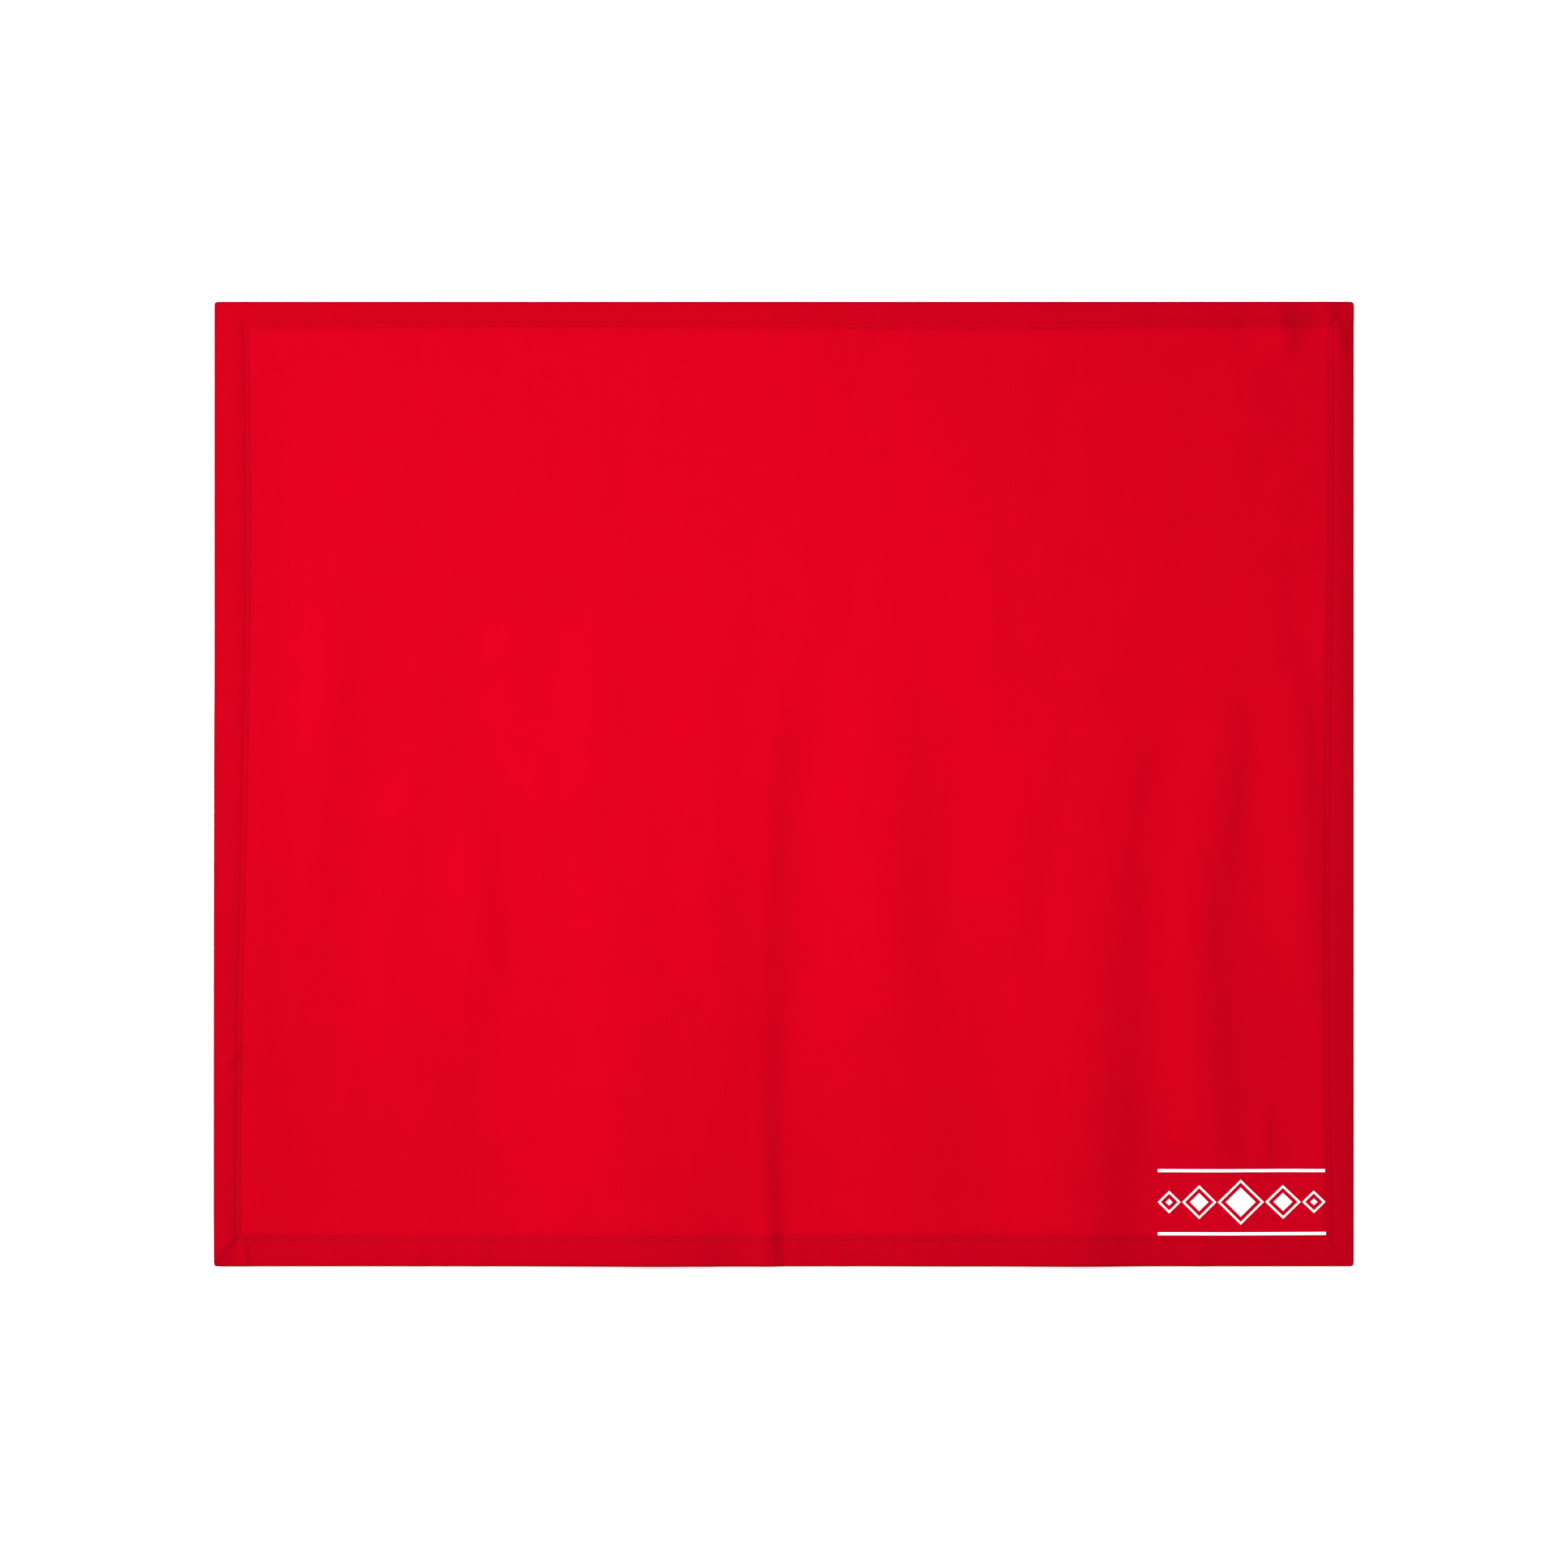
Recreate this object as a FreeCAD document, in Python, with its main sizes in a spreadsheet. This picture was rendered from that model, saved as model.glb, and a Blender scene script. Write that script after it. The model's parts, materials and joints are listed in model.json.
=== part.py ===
"""A hemmed sweatshirt-fleece blanket, laid flat and face up, as a parametric FreeCAD document.

The frame: the origin is under the middle of the blanket, on the surface that it lies on. +X runs to its
right-hand edge, +Y to its top edge and +Z up out of its face. Millimetres.

The blanket is one cut of fleece. Its edges are turned to the back once, mitred at the corners, and held by a
twin-needle coverstitch: two needle threads on the face and one looper thread on the back. The cloth lies at
two levels: the turned hems on the surface, and the face cloth on top of them. The cloth is divided at its
half fold, where the upper half turns down over the lower one.
"""

import FreeCAD, Part
import math
import os

import Sketcher

# Driving dimensions: alias, value in mm (or a count), what it is.
SIZES = (
    ("finished_width", 1500.0, "hemmed edge to hemmed edge, along X"),
    ("finished_height", 1270.0, "hemmed edge to hemmed edge, along Y"),
    ("cloth_thickness", 2.0, "one layer of brushed fleece"),
    ("corner_radius", 5.0, "outer corners in plan"),
    ("hem_depth", 39.0, "cloth turned to the back, edge to raw edge"),
    ("raw_edge_margin", 1.6, "inner needle row to the raw edge"),
    ("needle_gauge", 6.4, "between the two needle rows"),
    ("thread_width", 0.8, "a needle row, as wide as its dent in the cloth"),
    ("thread_height", 0.4, "a needle row, down into the face"),
    ("looper_overhang", 0.4, "looper thread past each needle row"),
    ("looper_height", 0.5, "looper thread, up into the hem"),
    ("mitre_width", 0.8, "sewn ridge between two hems at a corner"),
    ("fold_gap", 0.4, "clearance between the two halves at the fold"),
    ("print_margin", 1.0, "raw edge of the hem to the print"),
    ("print_thickness", 0.15, "film of ink on the face"),
    ("lozenge_steps", 2, "lozenges in the print's row, each side of the middle one"),
    ("lozenge_reach", 30.0, "middle lozenge, centre to tip"),
    ("lozenge_fall", 7.5, "reach that each next lozenge loses"),
    ("lozenge_gap", 2.0, "between neighbouring lozenges' tips"),
    ("lozenge_line", 3.5, "a lozenge's ring, tip to tip across its line"),
    ("lozenge_ground", 7.0, "between a ring and the solid lozenge inside it, tip to tip"),
    ("rule_line", 4.0, "width of the two straight rules"),
    ("rule_gap", 10.0, "middle lozenge's tip to a rule"),
    ("label_width", 40.0, "care label, along the hem"),
    ("label_length", 50.0, "care label, the part that shows"),
    ("label_tuck", 8.0, "care label, the part under the hem"),
    ("label_thickness", 0.3, "care label"),
    ("label_offset", 120.0, "left hem's raw edge to the label's middle"),
)

# Sizes that follow from the driving ones, as expressions.
HALF_WIDTH = "Sizes.finished_width / 2"
HALF_HEIGHT = "Sizes.finished_height / 2"
FOLD_SIDE = "Sizes.fold_gap / 2"
MITRE_SHIFT = f"Sizes.mitre_width / {math.sqrt(2)}"
INNER_ROW = "(Sizes.hem_depth - Sizes.raw_edge_margin)"
OUTER_ROW = f"({INNER_ROW} - Sizes.needle_gauge)"
HALF_THREAD = "Sizes.thread_width / 2"
LOOPER_WIDTH = "(Sizes.needle_gauge + Sizes.thread_width + 2 * Sizes.looper_overhang)"
LOOPER_START = f"({OUTER_ROW} - {HALF_THREAD} - Sizes.looper_overhang)"
FACE_LEVEL = "2 * Sizes.cloth_thickness"
LAST_CENTRE = (
    "Sizes.lozenge_steps"
    " * (2 * Sizes.lozenge_reach + Sizes.lozenge_gap - Sizes.lozenge_steps * Sizes.lozenge_fall)"
)
PRINT_WIDTH = f"(2 * ({LAST_CENTRE} + Sizes.lozenge_reach - Sizes.lozenge_steps * Sizes.lozenge_fall))"
PRINT_HEIGHT = "(2 * (Sizes.lozenge_reach + Sizes.rule_gap + Sizes.rule_line))"
PRINT_X = f"({HALF_WIDTH} - Sizes.hem_depth - Sizes.print_margin - {PRINT_WIDTH} / 2)"
PRINT_Y = f"(Sizes.hem_depth + Sizes.print_margin + {PRINT_HEIGHT} / 2 - {HALF_HEIGHT})"

# The runs of hem. Each is laid out along the bottom edge and turned about Z to its own side.
# name, words after the part's name, turn in degrees, centre to edge, start, end, mitred at start, at end
RUNS = (
    ("bottom", "", 0, HALF_HEIGHT, f"-{HALF_WIDTH}", HALF_WIDTH, True, True),
    ("top", "", 180, HALF_HEIGHT, f"-{HALF_WIDTH}", HALF_WIDTH, True, True),
    ("right", "_lower", 90, HALF_WIDTH, f"-{HALF_HEIGHT}", f"-{FOLD_SIDE}", True, False),
    ("right", "_upper", 90, HALF_WIDTH, FOLD_SIDE, HALF_HEIGHT, False, True),
    ("left", "_upper", 270, HALF_WIDTH, f"-{HALF_HEIGHT}", f"-{FOLD_SIDE}", True, False),
    ("left", "_lower", 270, HALF_WIDTH, FOLD_SIDE, HALF_HEIGHT, False, True),
)

VERTICAL = FreeCAD.Vector(0, 0, 1)


def make_sheet(doc):
    """The spreadsheet of driving dimensions, one row each: note, value."""
    sheet = doc.addObject("Spreadsheet::Sheet", "Sizes")
    for row, (alias, value, note) in enumerate(SIZES, start=1):
        sheet.set(f"A{row}", note)
        sheet.set(f"B{row}", str(value))
        sheet.setAlias(f"B{row}", alias)
    doc.recompute()
    return sheet


def bind(item, **expressions):
    """Binds properties of a document object to expressions; a double underscore stands for a dot."""
    for name, expression in expressions.items():
        item.setExpression(name.replace("__", "."), expression)
    return item


def add(doc, kind, label, **expressions):
    """A document object of that kind and label, with its sizes bound."""
    item = doc.addObject(kind, label)
    item.Label = label
    return bind(item, **expressions)


def boolean(doc, kind, label, base, tool):
    """A Part::Cut or Part::Common of two document objects."""
    item = add(doc, kind, label)
    item.Base = base
    item.Tool = tool
    return item


def turn(item, degrees):
    """Turns an object about the blanket's vertical axis."""
    item.Placement = FreeCAD.Placement(FreeCAD.Vector(), FreeCAD.Rotation(VERTICAL, degrees))
    return item


def bound_sketch(body, name, outlines, level="0"):
    """A sketch on the body's XY plane, raised to level, of closed outlines.

    Each outline is a list of corners (x expression, y expression), and each corner is held to the origin by
    a horizontal and a vertical distance."""
    sketch = body.newObject("Sketcher::SketchObject", name)
    plane = next(item for item in body.Origin.OriginFeatures if item.Role == "XY_Plane")
    sketch.AttachmentSupport = [(plane, "")]
    sketch.MapMode = "FlatFace"
    bind(sketch, AttachmentOffset__Base__z=level)
    sizes = body.Document.getObject("Sizes")
    for outline in outlines:
        corners = [FreeCAD.Vector(value_of(sizes, x), value_of(sizes, y)) for x, y in outline]
        first = sketch.GeometryCount
        for index, corner in enumerate(corners):
            following = corners[(index + 1) % len(corners)]
            sketch.addGeometry(Part.LineSegment(corner, following), False)
        for index, (x, y) in enumerate(outline):
            line = first + index
            following = first + (index + 1) % len(outline)
            sketch.addConstraint(Sketcher.Constraint("Coincident", line, 2, following, 1))
            for axis, value, expression in (("X", corners[index].x, x), ("Y", corners[index].y, y)):
                datum = Sketcher.Constraint(f"Distance{axis}", -1, 1, line, 1, value)
                number = sketch.addConstraint(datum)
                sketch.renameConstraint(number, f"{axis.lower()}{line}")
                sketch.setExpression(f"Constraints.{axis.lower()}{line}", expression)
    return sketch


def value_of(sizes, expression):
    """The number that an expression has now."""
    value = sizes.evalExpression(expression)
    return float(getattr(value, "Value", value))


def rectangle(left, right, low, high):
    """A closed outline from four expressions."""
    return [(left, low), (right, low), (right, high), (left, high)]


def outer_corner_edges(doc, shape):
    """The names of the upright edges that stand on the blanket's outer corners."""
    sizes = doc.getObject("Sizes")
    corner = (value_of(sizes, HALF_WIDTH), value_of(sizes, HALF_HEIGHT))
    names = []
    for number, edge in enumerate(shape.Edges, start=1):
        middle = edge.CenterOfMass
        upright = abs(edge.tangentAt(edge.FirstParameter).z) > 0.999
        if upright and math.dist((abs(middle.x), abs(middle.y)), corner) < 0.01:
            names.append(f"Edge{number}")
    return names


def cloth_blank(doc, label, outline, thickness):
    """A flat layer of cloth with the blanket's rounded corners: sketch, pad and fillet."""
    body = doc.addObject("PartDesign::Body", label)
    body.Label = label
    pad = body.newObject("PartDesign::Pad", f"{label}_layer")
    pad.Profile = bound_sketch(body, f"{label}_outline", [outline])
    bind(pad, Length=thickness)
    doc.recompute()
    rounding = body.newObject("PartDesign::Fillet", f"{label}_corners")
    rounding.Base = (pad, outer_corner_edges(doc, pad.Shape))
    bind(rounding, Radius="Sizes.corner_radius")
    doc.recompute()
    return body


def row_dent(row, low, sign):
    """The U-shaped dent of one needle row in one half of the cloth, from fold to fold round two corners."""
    outer, inner = f"({row} - {HALF_THREAD})", f"({row} + {HALF_THREAD})"
    return [
        (f"-({HALF_WIDTH} - {outer})", low),
        (f"-({HALF_WIDTH} - {outer})", f"{sign} * ({HALF_HEIGHT} - {outer})"),
        (f"{HALF_WIDTH} - {outer}", f"{sign} * ({HALF_HEIGHT} - {outer})"),
        (f"{HALF_WIDTH} - {outer}", low),
        (f"{HALF_WIDTH} - {inner}", low),
        (f"{HALF_WIDTH} - {inner}", f"{sign} * ({HALF_HEIGHT} - {inner})"),
        (f"-({HALF_WIDTH} - {inner})", f"{sign} * ({HALF_HEIGHT} - {inner})"),
        (f"-({HALF_WIDTH} - {inner})", low),
    ]


def fleece_panel(doc, half, sign):
    """One half of the face cloth, with the dents that the needle threads lie in."""
    label = f"fleece_panel_{half}"
    fold_edge = f"{sign} * {FOLD_SIDE}"
    edge = f"{sign} * {HALF_HEIGHT}"
    outline = rectangle(f"-{HALF_WIDTH}", HALF_WIDTH, fold_edge, edge)
    body = cloth_blank(doc, label, outline, "Sizes.cloth_thickness")
    bind(body, Placement__Base__z="Sizes.cloth_thickness")
    dents = body.newObject("PartDesign::Pocket", f"{label}_dents")
    outlines = [row_dent(row, fold_edge, sign) for row in (OUTER_ROW, INNER_ROW)]
    dents.Profile = bound_sketch(body, f"{label}_rows", outlines, "Sizes.cloth_thickness")
    bind(dents, Length="Sizes.thread_height")
    body.Tip = dents
    doc.recompute()
    return body


def turned_hem(doc, run, outline, label_cloth):
    """One run of cloth turned to the back, and the looper thread that lies in it."""
    side, half, degrees, across, start, end, start_mitred, end_mitred = run
    low = f"{start} + {MITRE_SHIFT}" if start_mitred else start
    high = f"{end} - {MITRE_SHIFT}" if end_mitred else end
    strip = add(
        doc, "Part::Wedge", f"{side}{half}_strip",
        Xmin=low, Xmax=high,
        X2min=f"{low} + Sizes.hem_depth" if start_mitred else low,
        X2max=f"{high} - Sizes.hem_depth" if end_mitred else high,
        Ymin=f"-{across}", Ymax=f"Sizes.hem_depth - {across}",
        Zmin="0", Zmax="Sizes.cloth_thickness",
        Z2min="0", Z2max="Sizes.cloth_thickness",
    )
    band = add(
        doc, "Part::Box", f"{side}{half}_band",
        Length=f"{end} - ({start})", Width=LOOPER_WIDTH, Height="Sizes.looper_height",
    )
    for item in (strip, band):
        turn(item, degrees)
    place_along(band, degrees, start, f"{LOOPER_START} - {across}", "0")
    rounded = boolean(doc, "Part::Common", f"{side}{half}_rounded", strip, outline)
    looper = boolean(doc, "Part::Common", f"{side}_looper_thread{half}", band, strip)
    if side == "top":
        rounded = boolean(doc, "Part::Cut", f"{side}_recessed", rounded, label_cloth)
    hem = boolean(doc, "Part::Cut", f"{side}_hem{half}", rounded, band)
    return [hem, looper]


def place_along(item, degrees, along, across, level):
    """Moves a turned object to a place given along and across its own side of the blanket."""
    x, y = {
        0: (along, across),
        90: (f"-({across})", along),
        180: (f"-({along})", f"-({across})"),
        270: (across, f"-({along})"),
    }[degrees]
    return bind(item, Placement__Base__x=x, Placement__Base__y=y, Placement__Base__z=level)


def needle_threads(doc, run):
    """The two rows of needle thread along one run of hem, flush with the face."""
    side, half, degrees, across, start, end, start_mitred, end_mitred = run
    # Rows on the long sides run through the corners, and the rows of the short sides stop against them.
    past_corner = HALF_THREAD if side in ("top", "bottom") else f"-{HALF_THREAD}"
    rows = []
    for name, row in (("outer", OUTER_ROW), ("inner", INNER_ROW)):
        low = f"{start} + {row} - ({past_corner})" if start_mitred else start
        high = f"{end} - {row} + ({past_corner})" if end_mitred else end
        thread = add(
            doc, "Part::Box", f"{side}{half}_{name}_row",
            Length=f"{high} - ({low})", Width="Sizes.thread_width", Height="Sizes.thread_height",
        )
        turn(thread, degrees)
        level = f"{FACE_LEVEL} - Sizes.thread_height"
        place_along(thread, degrees, low, f"{row} - {HALF_THREAD} - {across}", level)
        rows.append(thread)
    return group(doc, f"{side}_needle_threads{half}", rows)


def group(doc, label, items):
    """Several separate solids under one label."""
    compound = add(doc, "Part::Compound", label)
    compound.Links = items
    return compound


def mitre_seam(doc, level_name, side_name, outline):
    """The sewn ridge that fills the mitre between two hems, from the raw edges to the corner."""
    x_sign = "-" if side_name == "left" else ""
    y_sign = "-" if level_name == "bottom" else ""
    degrees = {
        ("bottom", "left"): 45,
        ("bottom", "right"): 135,
        ("top", "right"): 225,
        ("top", "left"): 315,
    }[level_name, side_name]
    ridge = add(
        doc, "Part::Box", f"{level_name}_{side_name}_ridge",
        Length=f"(2 * Sizes.hem_depth + {MITRE_SHIFT}) / {math.sqrt(2)}",
        Width="Sizes.mitre_width", Height="Sizes.cloth_thickness",
    )
    turn(ridge, degrees)
    # The box starts at a corner of its own, half its width to the side of the mitre line.
    aside = FreeCAD.Rotation(VERTICAL, degrees).multVec(FreeCAD.Vector(0, -0.5, 0))
    bind(
        ridge,
        Placement__Base__x=f"{x_sign}{HALF_WIDTH} + {aside.x} * Sizes.mitre_width",
        Placement__Base__y=f"{y_sign}{HALF_HEIGHT} + {aside.y} * Sizes.mitre_width",
    )
    label = f"mitre_seam_{level_name}_{side_name}"
    return boolean(doc, "Part::Common", label, ridge, outline)


def lozenge(doc, label, step, inset):
    """A square on its point in the print's row, so many steps from the middle, its tips drawn in by inset."""
    away = abs(step)
    centre = f"{step} * (2 * Sizes.lozenge_reach + Sizes.lozenge_gap - {away} * Sizes.lozenge_fall)"
    item = add(
        doc, "Part::Prism", label,
        Circumradius=f"Sizes.lozenge_reach - {away} * Sizes.lozenge_fall - ({inset})",
        Height="Sizes.print_thickness",
        Placement__Base__x=f"{PRINT_X} + {centre}",
        Placement__Base__y=PRINT_Y, Placement__Base__z=FACE_LEVEL,
    )
    item.Polygon = 4
    return item


def corner_print(doc):
    """The printed motif in the lower right corner: a row of lozenges between two rules."""
    shapes = []
    steps = int(value_of(doc.getObject("Sizes"), "Sizes.lozenge_steps"))
    eye_inset = "Sizes.lozenge_line + Sizes.lozenge_ground"
    for number, step in enumerate(range(-steps, steps + 1)):
        outside = lozenge(doc, f"lozenge_{number}_outside", step, "0")
        inside = lozenge(doc, f"lozenge_{number}_inside", step, "Sizes.lozenge_line")
        shapes.append(boolean(doc, "Part::Cut", f"lozenge_{number}_ring", outside, inside))
        shapes.append(lozenge(doc, f"lozenge_{number}_eye", step, eye_inset))
    for name, low in (
        ("lower", f"{PRINT_Y} - {PRINT_HEIGHT} / 2"),
        ("upper", f"{PRINT_Y} + {PRINT_HEIGHT} / 2 - Sizes.rule_line"),
    ):
        shapes.append(
            add(
                doc, "Part::Box", f"{name}_rule",
                Length=PRINT_WIDTH, Width="Sizes.rule_line", Height="Sizes.print_thickness",
                Placement__Base__x=f"{PRINT_X} - {PRINT_WIDTH} / 2",
                Placement__Base__y=low, Placement__Base__z=FACE_LEVEL,
            )
        )
    return group(doc, "corner_print", shapes)


def care_label(doc):
    """A blank label against the back of the face cloth, its end tucked under the top hem."""
    return add(
        doc, "Part::Box", "care_label",
        Length="Sizes.label_width", Width="Sizes.label_length + Sizes.label_tuck",
        Height="Sizes.label_thickness",
        Placement__Base__x=f"Sizes.hem_depth + Sizes.label_offset - Sizes.label_width / 2 - {HALF_WIDTH}",
        Placement__Base__y=f"{HALF_HEIGHT} - Sizes.hem_depth - Sizes.label_length",
        Placement__Base__z="Sizes.cloth_thickness - Sizes.label_thickness",
    )


def build(doc):
    """Every sub-part of the blanket, in the order it is sewn."""
    make_sheet(doc)
    whole = rectangle(f"-{HALF_WIDTH}", HALF_WIDTH, f"-{HALF_HEIGHT}", HALF_HEIGHT)
    outline = cloth_blank(doc, "cloth_outline", whole, FACE_LEVEL)
    parts = [fleece_panel(doc, "lower", -1), fleece_panel(doc, "upper", 1)]
    label_cloth = care_label(doc)
    for run in RUNS:
        parts += turned_hem(doc, run, outline, label_cloth)
        parts.append(needle_threads(doc, run))
    for level_name in ("bottom", "top"):
        for side_name in ("left", "right"):
            parts.append(mitre_seam(doc, level_name, side_name, outline))
    parts += [corner_print(doc), label_cloth]
    doc.recompute()
    return parts


def check(doc, parts):
    """Stops the build if any object failed or any sub-part isn't one or more sound, closed solids."""
    for item in doc.Objects:
        if "Invalid" in item.State or "Error" in item.State:
            raise RuntimeError(f"{item.Label} did not compute: {item.State}")
    for part in parts:
        shape = part.Shape
        if shape.isNull() or not shape.isValid() or not shape.Solids:
            raise RuntimeError(f"{part.Label} has no valid solid")
        if min(solid.Volume for solid in shape.Solids) <= 0:
            raise RuntimeError(f"{part.Label} has a solid with no volume")
    # A pocket that points out of the cloth cuts nothing, so each panel is compared with its bare layer.
    for half in ("lower", "upper"):
        body = doc.getObject(f"fleece_panel_{half}")
        bare = doc.getObject(f"fleece_panel_{half}_corners").Shape.Volume
        if not body.Shape.Volume < bare:
            raise RuntimeError(f"the needle dents of {body.Label} cut nothing")


def main():
    """Builds the document, checks it and writes one STEP file for each sub-part."""
    doc = FreeCAD.newDocument("blanket")
    parts = build(doc)
    check(doc, parts)
    os.makedirs("parts", exist_ok=True)
    for part in parts:
        part.Shape.exportStep(os.path.join("parts", f"{part.Label}.step"))
        print(f"{part.Label}: {len(part.Shape.Solids)} solid(s), {part.Shape.Volume:.1f} mm3")


main()
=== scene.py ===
"""A hemmed sweatshirt-fleece blanket, laid out flat and face up: cloth, hems, stitching, print and label.

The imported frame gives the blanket's edges, hem, seam rows, print and label. The cloth is shaped once, as a
laid surface, and every other piece is modelled flat at its own place and then laid on that surface.
Sizes are millimetres until a mesh is written, which is in metres.
"""

import json
import logging
import math
from collections.abc import Callable, Iterator, Sequence
from contextlib import contextmanager
from dataclasses import dataclass, field
from enum import Enum

import bmesh
import bpy
import numpy as np
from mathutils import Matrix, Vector, noise


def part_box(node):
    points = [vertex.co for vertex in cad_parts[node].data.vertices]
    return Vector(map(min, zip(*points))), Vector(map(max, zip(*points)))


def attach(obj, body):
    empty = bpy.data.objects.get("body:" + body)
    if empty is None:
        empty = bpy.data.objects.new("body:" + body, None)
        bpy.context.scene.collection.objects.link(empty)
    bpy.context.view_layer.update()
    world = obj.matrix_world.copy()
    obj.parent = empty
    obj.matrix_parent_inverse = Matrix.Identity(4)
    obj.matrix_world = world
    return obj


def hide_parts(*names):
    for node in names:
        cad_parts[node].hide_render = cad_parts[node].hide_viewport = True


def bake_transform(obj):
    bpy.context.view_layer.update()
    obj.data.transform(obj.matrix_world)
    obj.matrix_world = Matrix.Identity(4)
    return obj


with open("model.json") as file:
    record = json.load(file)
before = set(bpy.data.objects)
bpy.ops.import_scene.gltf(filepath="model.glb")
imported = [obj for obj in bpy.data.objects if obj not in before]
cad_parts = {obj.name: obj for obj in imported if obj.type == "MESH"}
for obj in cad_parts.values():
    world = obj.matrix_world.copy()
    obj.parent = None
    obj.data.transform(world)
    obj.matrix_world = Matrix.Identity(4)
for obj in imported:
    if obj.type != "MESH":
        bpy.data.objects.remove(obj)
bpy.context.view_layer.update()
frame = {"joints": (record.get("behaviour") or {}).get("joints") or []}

MM = 0.001
# The cut cloth's stock size, 60 by 50 in, between the folds of its hems.
# Edges that turn further than this stay crisp.
CRISP_ANGLE = math.radians(50)
# The sockets of a Mix node for colours: its share, its two colours and its result.
MIX_SHARE, MIX_FROM, MIX_TO, MIX_RESULT = 0, 6, 7, 2
log = logging.getLogger("blanket")


# ---------------------------------------------------------------------------------------------------------
# The frame's sizes
# ---------------------------------------------------------------------------------------------------------


class Side(Enum):
    """The blanket's sides, each with the turn about Z, in degrees, that brings the bottom side to it."""

    BOTTOM = 0
    RIGHT = 90
    TOP = 180
    LEFT = 270

    @property
    def word(self) -> str:
        """The side's name as it stands in the names of pieces and nodes."""
        return self.name.lower()

    @property
    def crosses_fold(self) -> bool:
        """Whether the side runs over the half fold."""
        return self in (Side.LEFT, Side.RIGHT)

    @property
    def body(self) -> str | None:
        """The body that the side rides on, or None where it runs over the half fold."""
        return {Side.BOTTOM: "lower_half", Side.TOP: "upper_half"}.get(self)

    def nodes(self, what: str) -> list[str]:
        """The frame's nodes for one kind of piece along this side, such as "hem"."""
        name = f"{self.word}_{what}"
        return [f"{name}_lower", f"{name}_upper"] if self.crosses_fold else [name]


class Skin(Enum):
    """Which side of the cloth a piece lies on."""

    FACE = "face"
    BACK = "back"


@dataclass(frozen=True)
class Layout:
    """The flat blanket's sizes, read from the frame. Millimetres.

    row_width is the width of the line that stands for a row of needle thread in the frame.
    """

    half_width: float
    half_height: float
    hem: float
    outer_row: float
    inner_row: float
    cloth: float
    fold_axis: float
    corner_radius: float = 5.0
    row_width: float = 0.8

    @classmethod
    def from_frame(cls) -> "Layout":
        """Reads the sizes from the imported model.

        Returns:
            The blanket's layout.
        """
        low, high = (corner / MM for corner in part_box("fleece_panel_upper"))
        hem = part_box("bottom_hem")[1] / MM
        threads = [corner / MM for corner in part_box("bottom_needle_threads")]
        hinge = next(joint for joint in frame["joints"] if joint["name"] == "half_fold")
        return cls(
            half_width=high.x,
            half_height=high.y,
            hem=hem.y + high.y,
            outer_row=threads[0].y + cls.row_width / 2 + high.y,
            inner_row=threads[1].y - cls.row_width / 2 + high.y,
            cloth=high.z - low.z,
            fold_axis=hinge["pos_m"][2] / MM,
        )

    @property
    def seam(self) -> float:
        """Edge to the middle between the two needle rows."""
        return (self.outer_row + self.inner_row) / 2

    @property
    def face_middle(self) -> float:
        """Height of the middle of the face cloth where it lies on a hem."""
        return 1.5 * self.cloth

    @property
    def fold_reach(self) -> float:
        """How far from the fold line the cloth starts to bend when it is folded in half."""
        return math.pi / 2 * self.fold_axis

    def spans(self, side: Side) -> tuple[float, float]:
        """Half the length along a side, and half the blanket's size across it."""
        sizes = (self.half_width, self.half_height)
        return sizes[::-1] if side.crosses_fold else sizes


# ---------------------------------------------------------------------------------------------------------
# Small mesh helpers
# ---------------------------------------------------------------------------------------------------------


def ramp(distance: np.ndarray, start: float, length: float) -> np.ndarray:
    """A soft ramp from 0 to 1 over this length, from where distance reaches start."""
    share = np.clip((distance - start) / length, 0.0, 1.0)
    return share * share * (3.0 - 2.0 * share)


def bell(distance: np.ndarray, spread: float | np.ndarray) -> np.ndarray:
    """A soft bump, 1 at no distance."""
    return np.exp(-np.square(distance / spread))


def metres(place: Sequence[float]) -> list[float]:
    """A place in millimetres, in metres."""
    return [part * MM for part in place]


def points_of(mesh: bpy.types.Mesh) -> np.ndarray:
    """Reads a mesh's points.

    Args:
        mesh: the mesh.

    Returns:
        Its points in millimetres, one row each.
    """
    flat = np.empty(len(mesh.vertices) * 3)
    mesh.vertices.foreach_get("co", flat)
    return flat.reshape(-1, 3) / MM


def set_points(mesh: bpy.types.Mesh, points: np.ndarray) -> None:
    """Moves a mesh's points to these places, in millimetres."""
    mesh.vertices.foreach_set("co", (points * MM).ravel())
    mesh.update()


def keep_flat_place(mesh: bpy.types.Mesh, flat: np.ndarray) -> None:
    """Stores each point's place on the flat blanket as the mesh's UV map, in metres.

    Args:
        mesh: the mesh.
        flat: its points' places on the flat blanket, in millimetres.
    """
    layer = mesh.uv_layers.get("cloth") or mesh.uv_layers.new(name="cloth")
    corners = np.empty(len(mesh.loops), dtype=np.int64)
    mesh.loops.foreach_get("vertex_index", corners)
    layer.data.foreach_set("uv", (flat[corners, :2] * MM).ravel())


def newest(name: str) -> bpy.types.Object:
    """Names the object that is active, which is the one that an operator has just made.

    Args:
        name: the object's name, and its mesh's.

    Returns:
        The object.
    """
    piece = bpy.context.active_object
    piece.name = name
    piece.data.name = name
    return piece


def select_only(*pieces: bpy.types.Object) -> None:
    """Selects these objects and nothing else, the last one active.

    Args:
        pieces: the objects, or none of them to deselect everything.
    """
    bpy.ops.object.select_all(action="DESELECT")
    for piece in pieces:
        piece.select_set(True)
        bpy.context.view_layer.objects.active = piece


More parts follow.
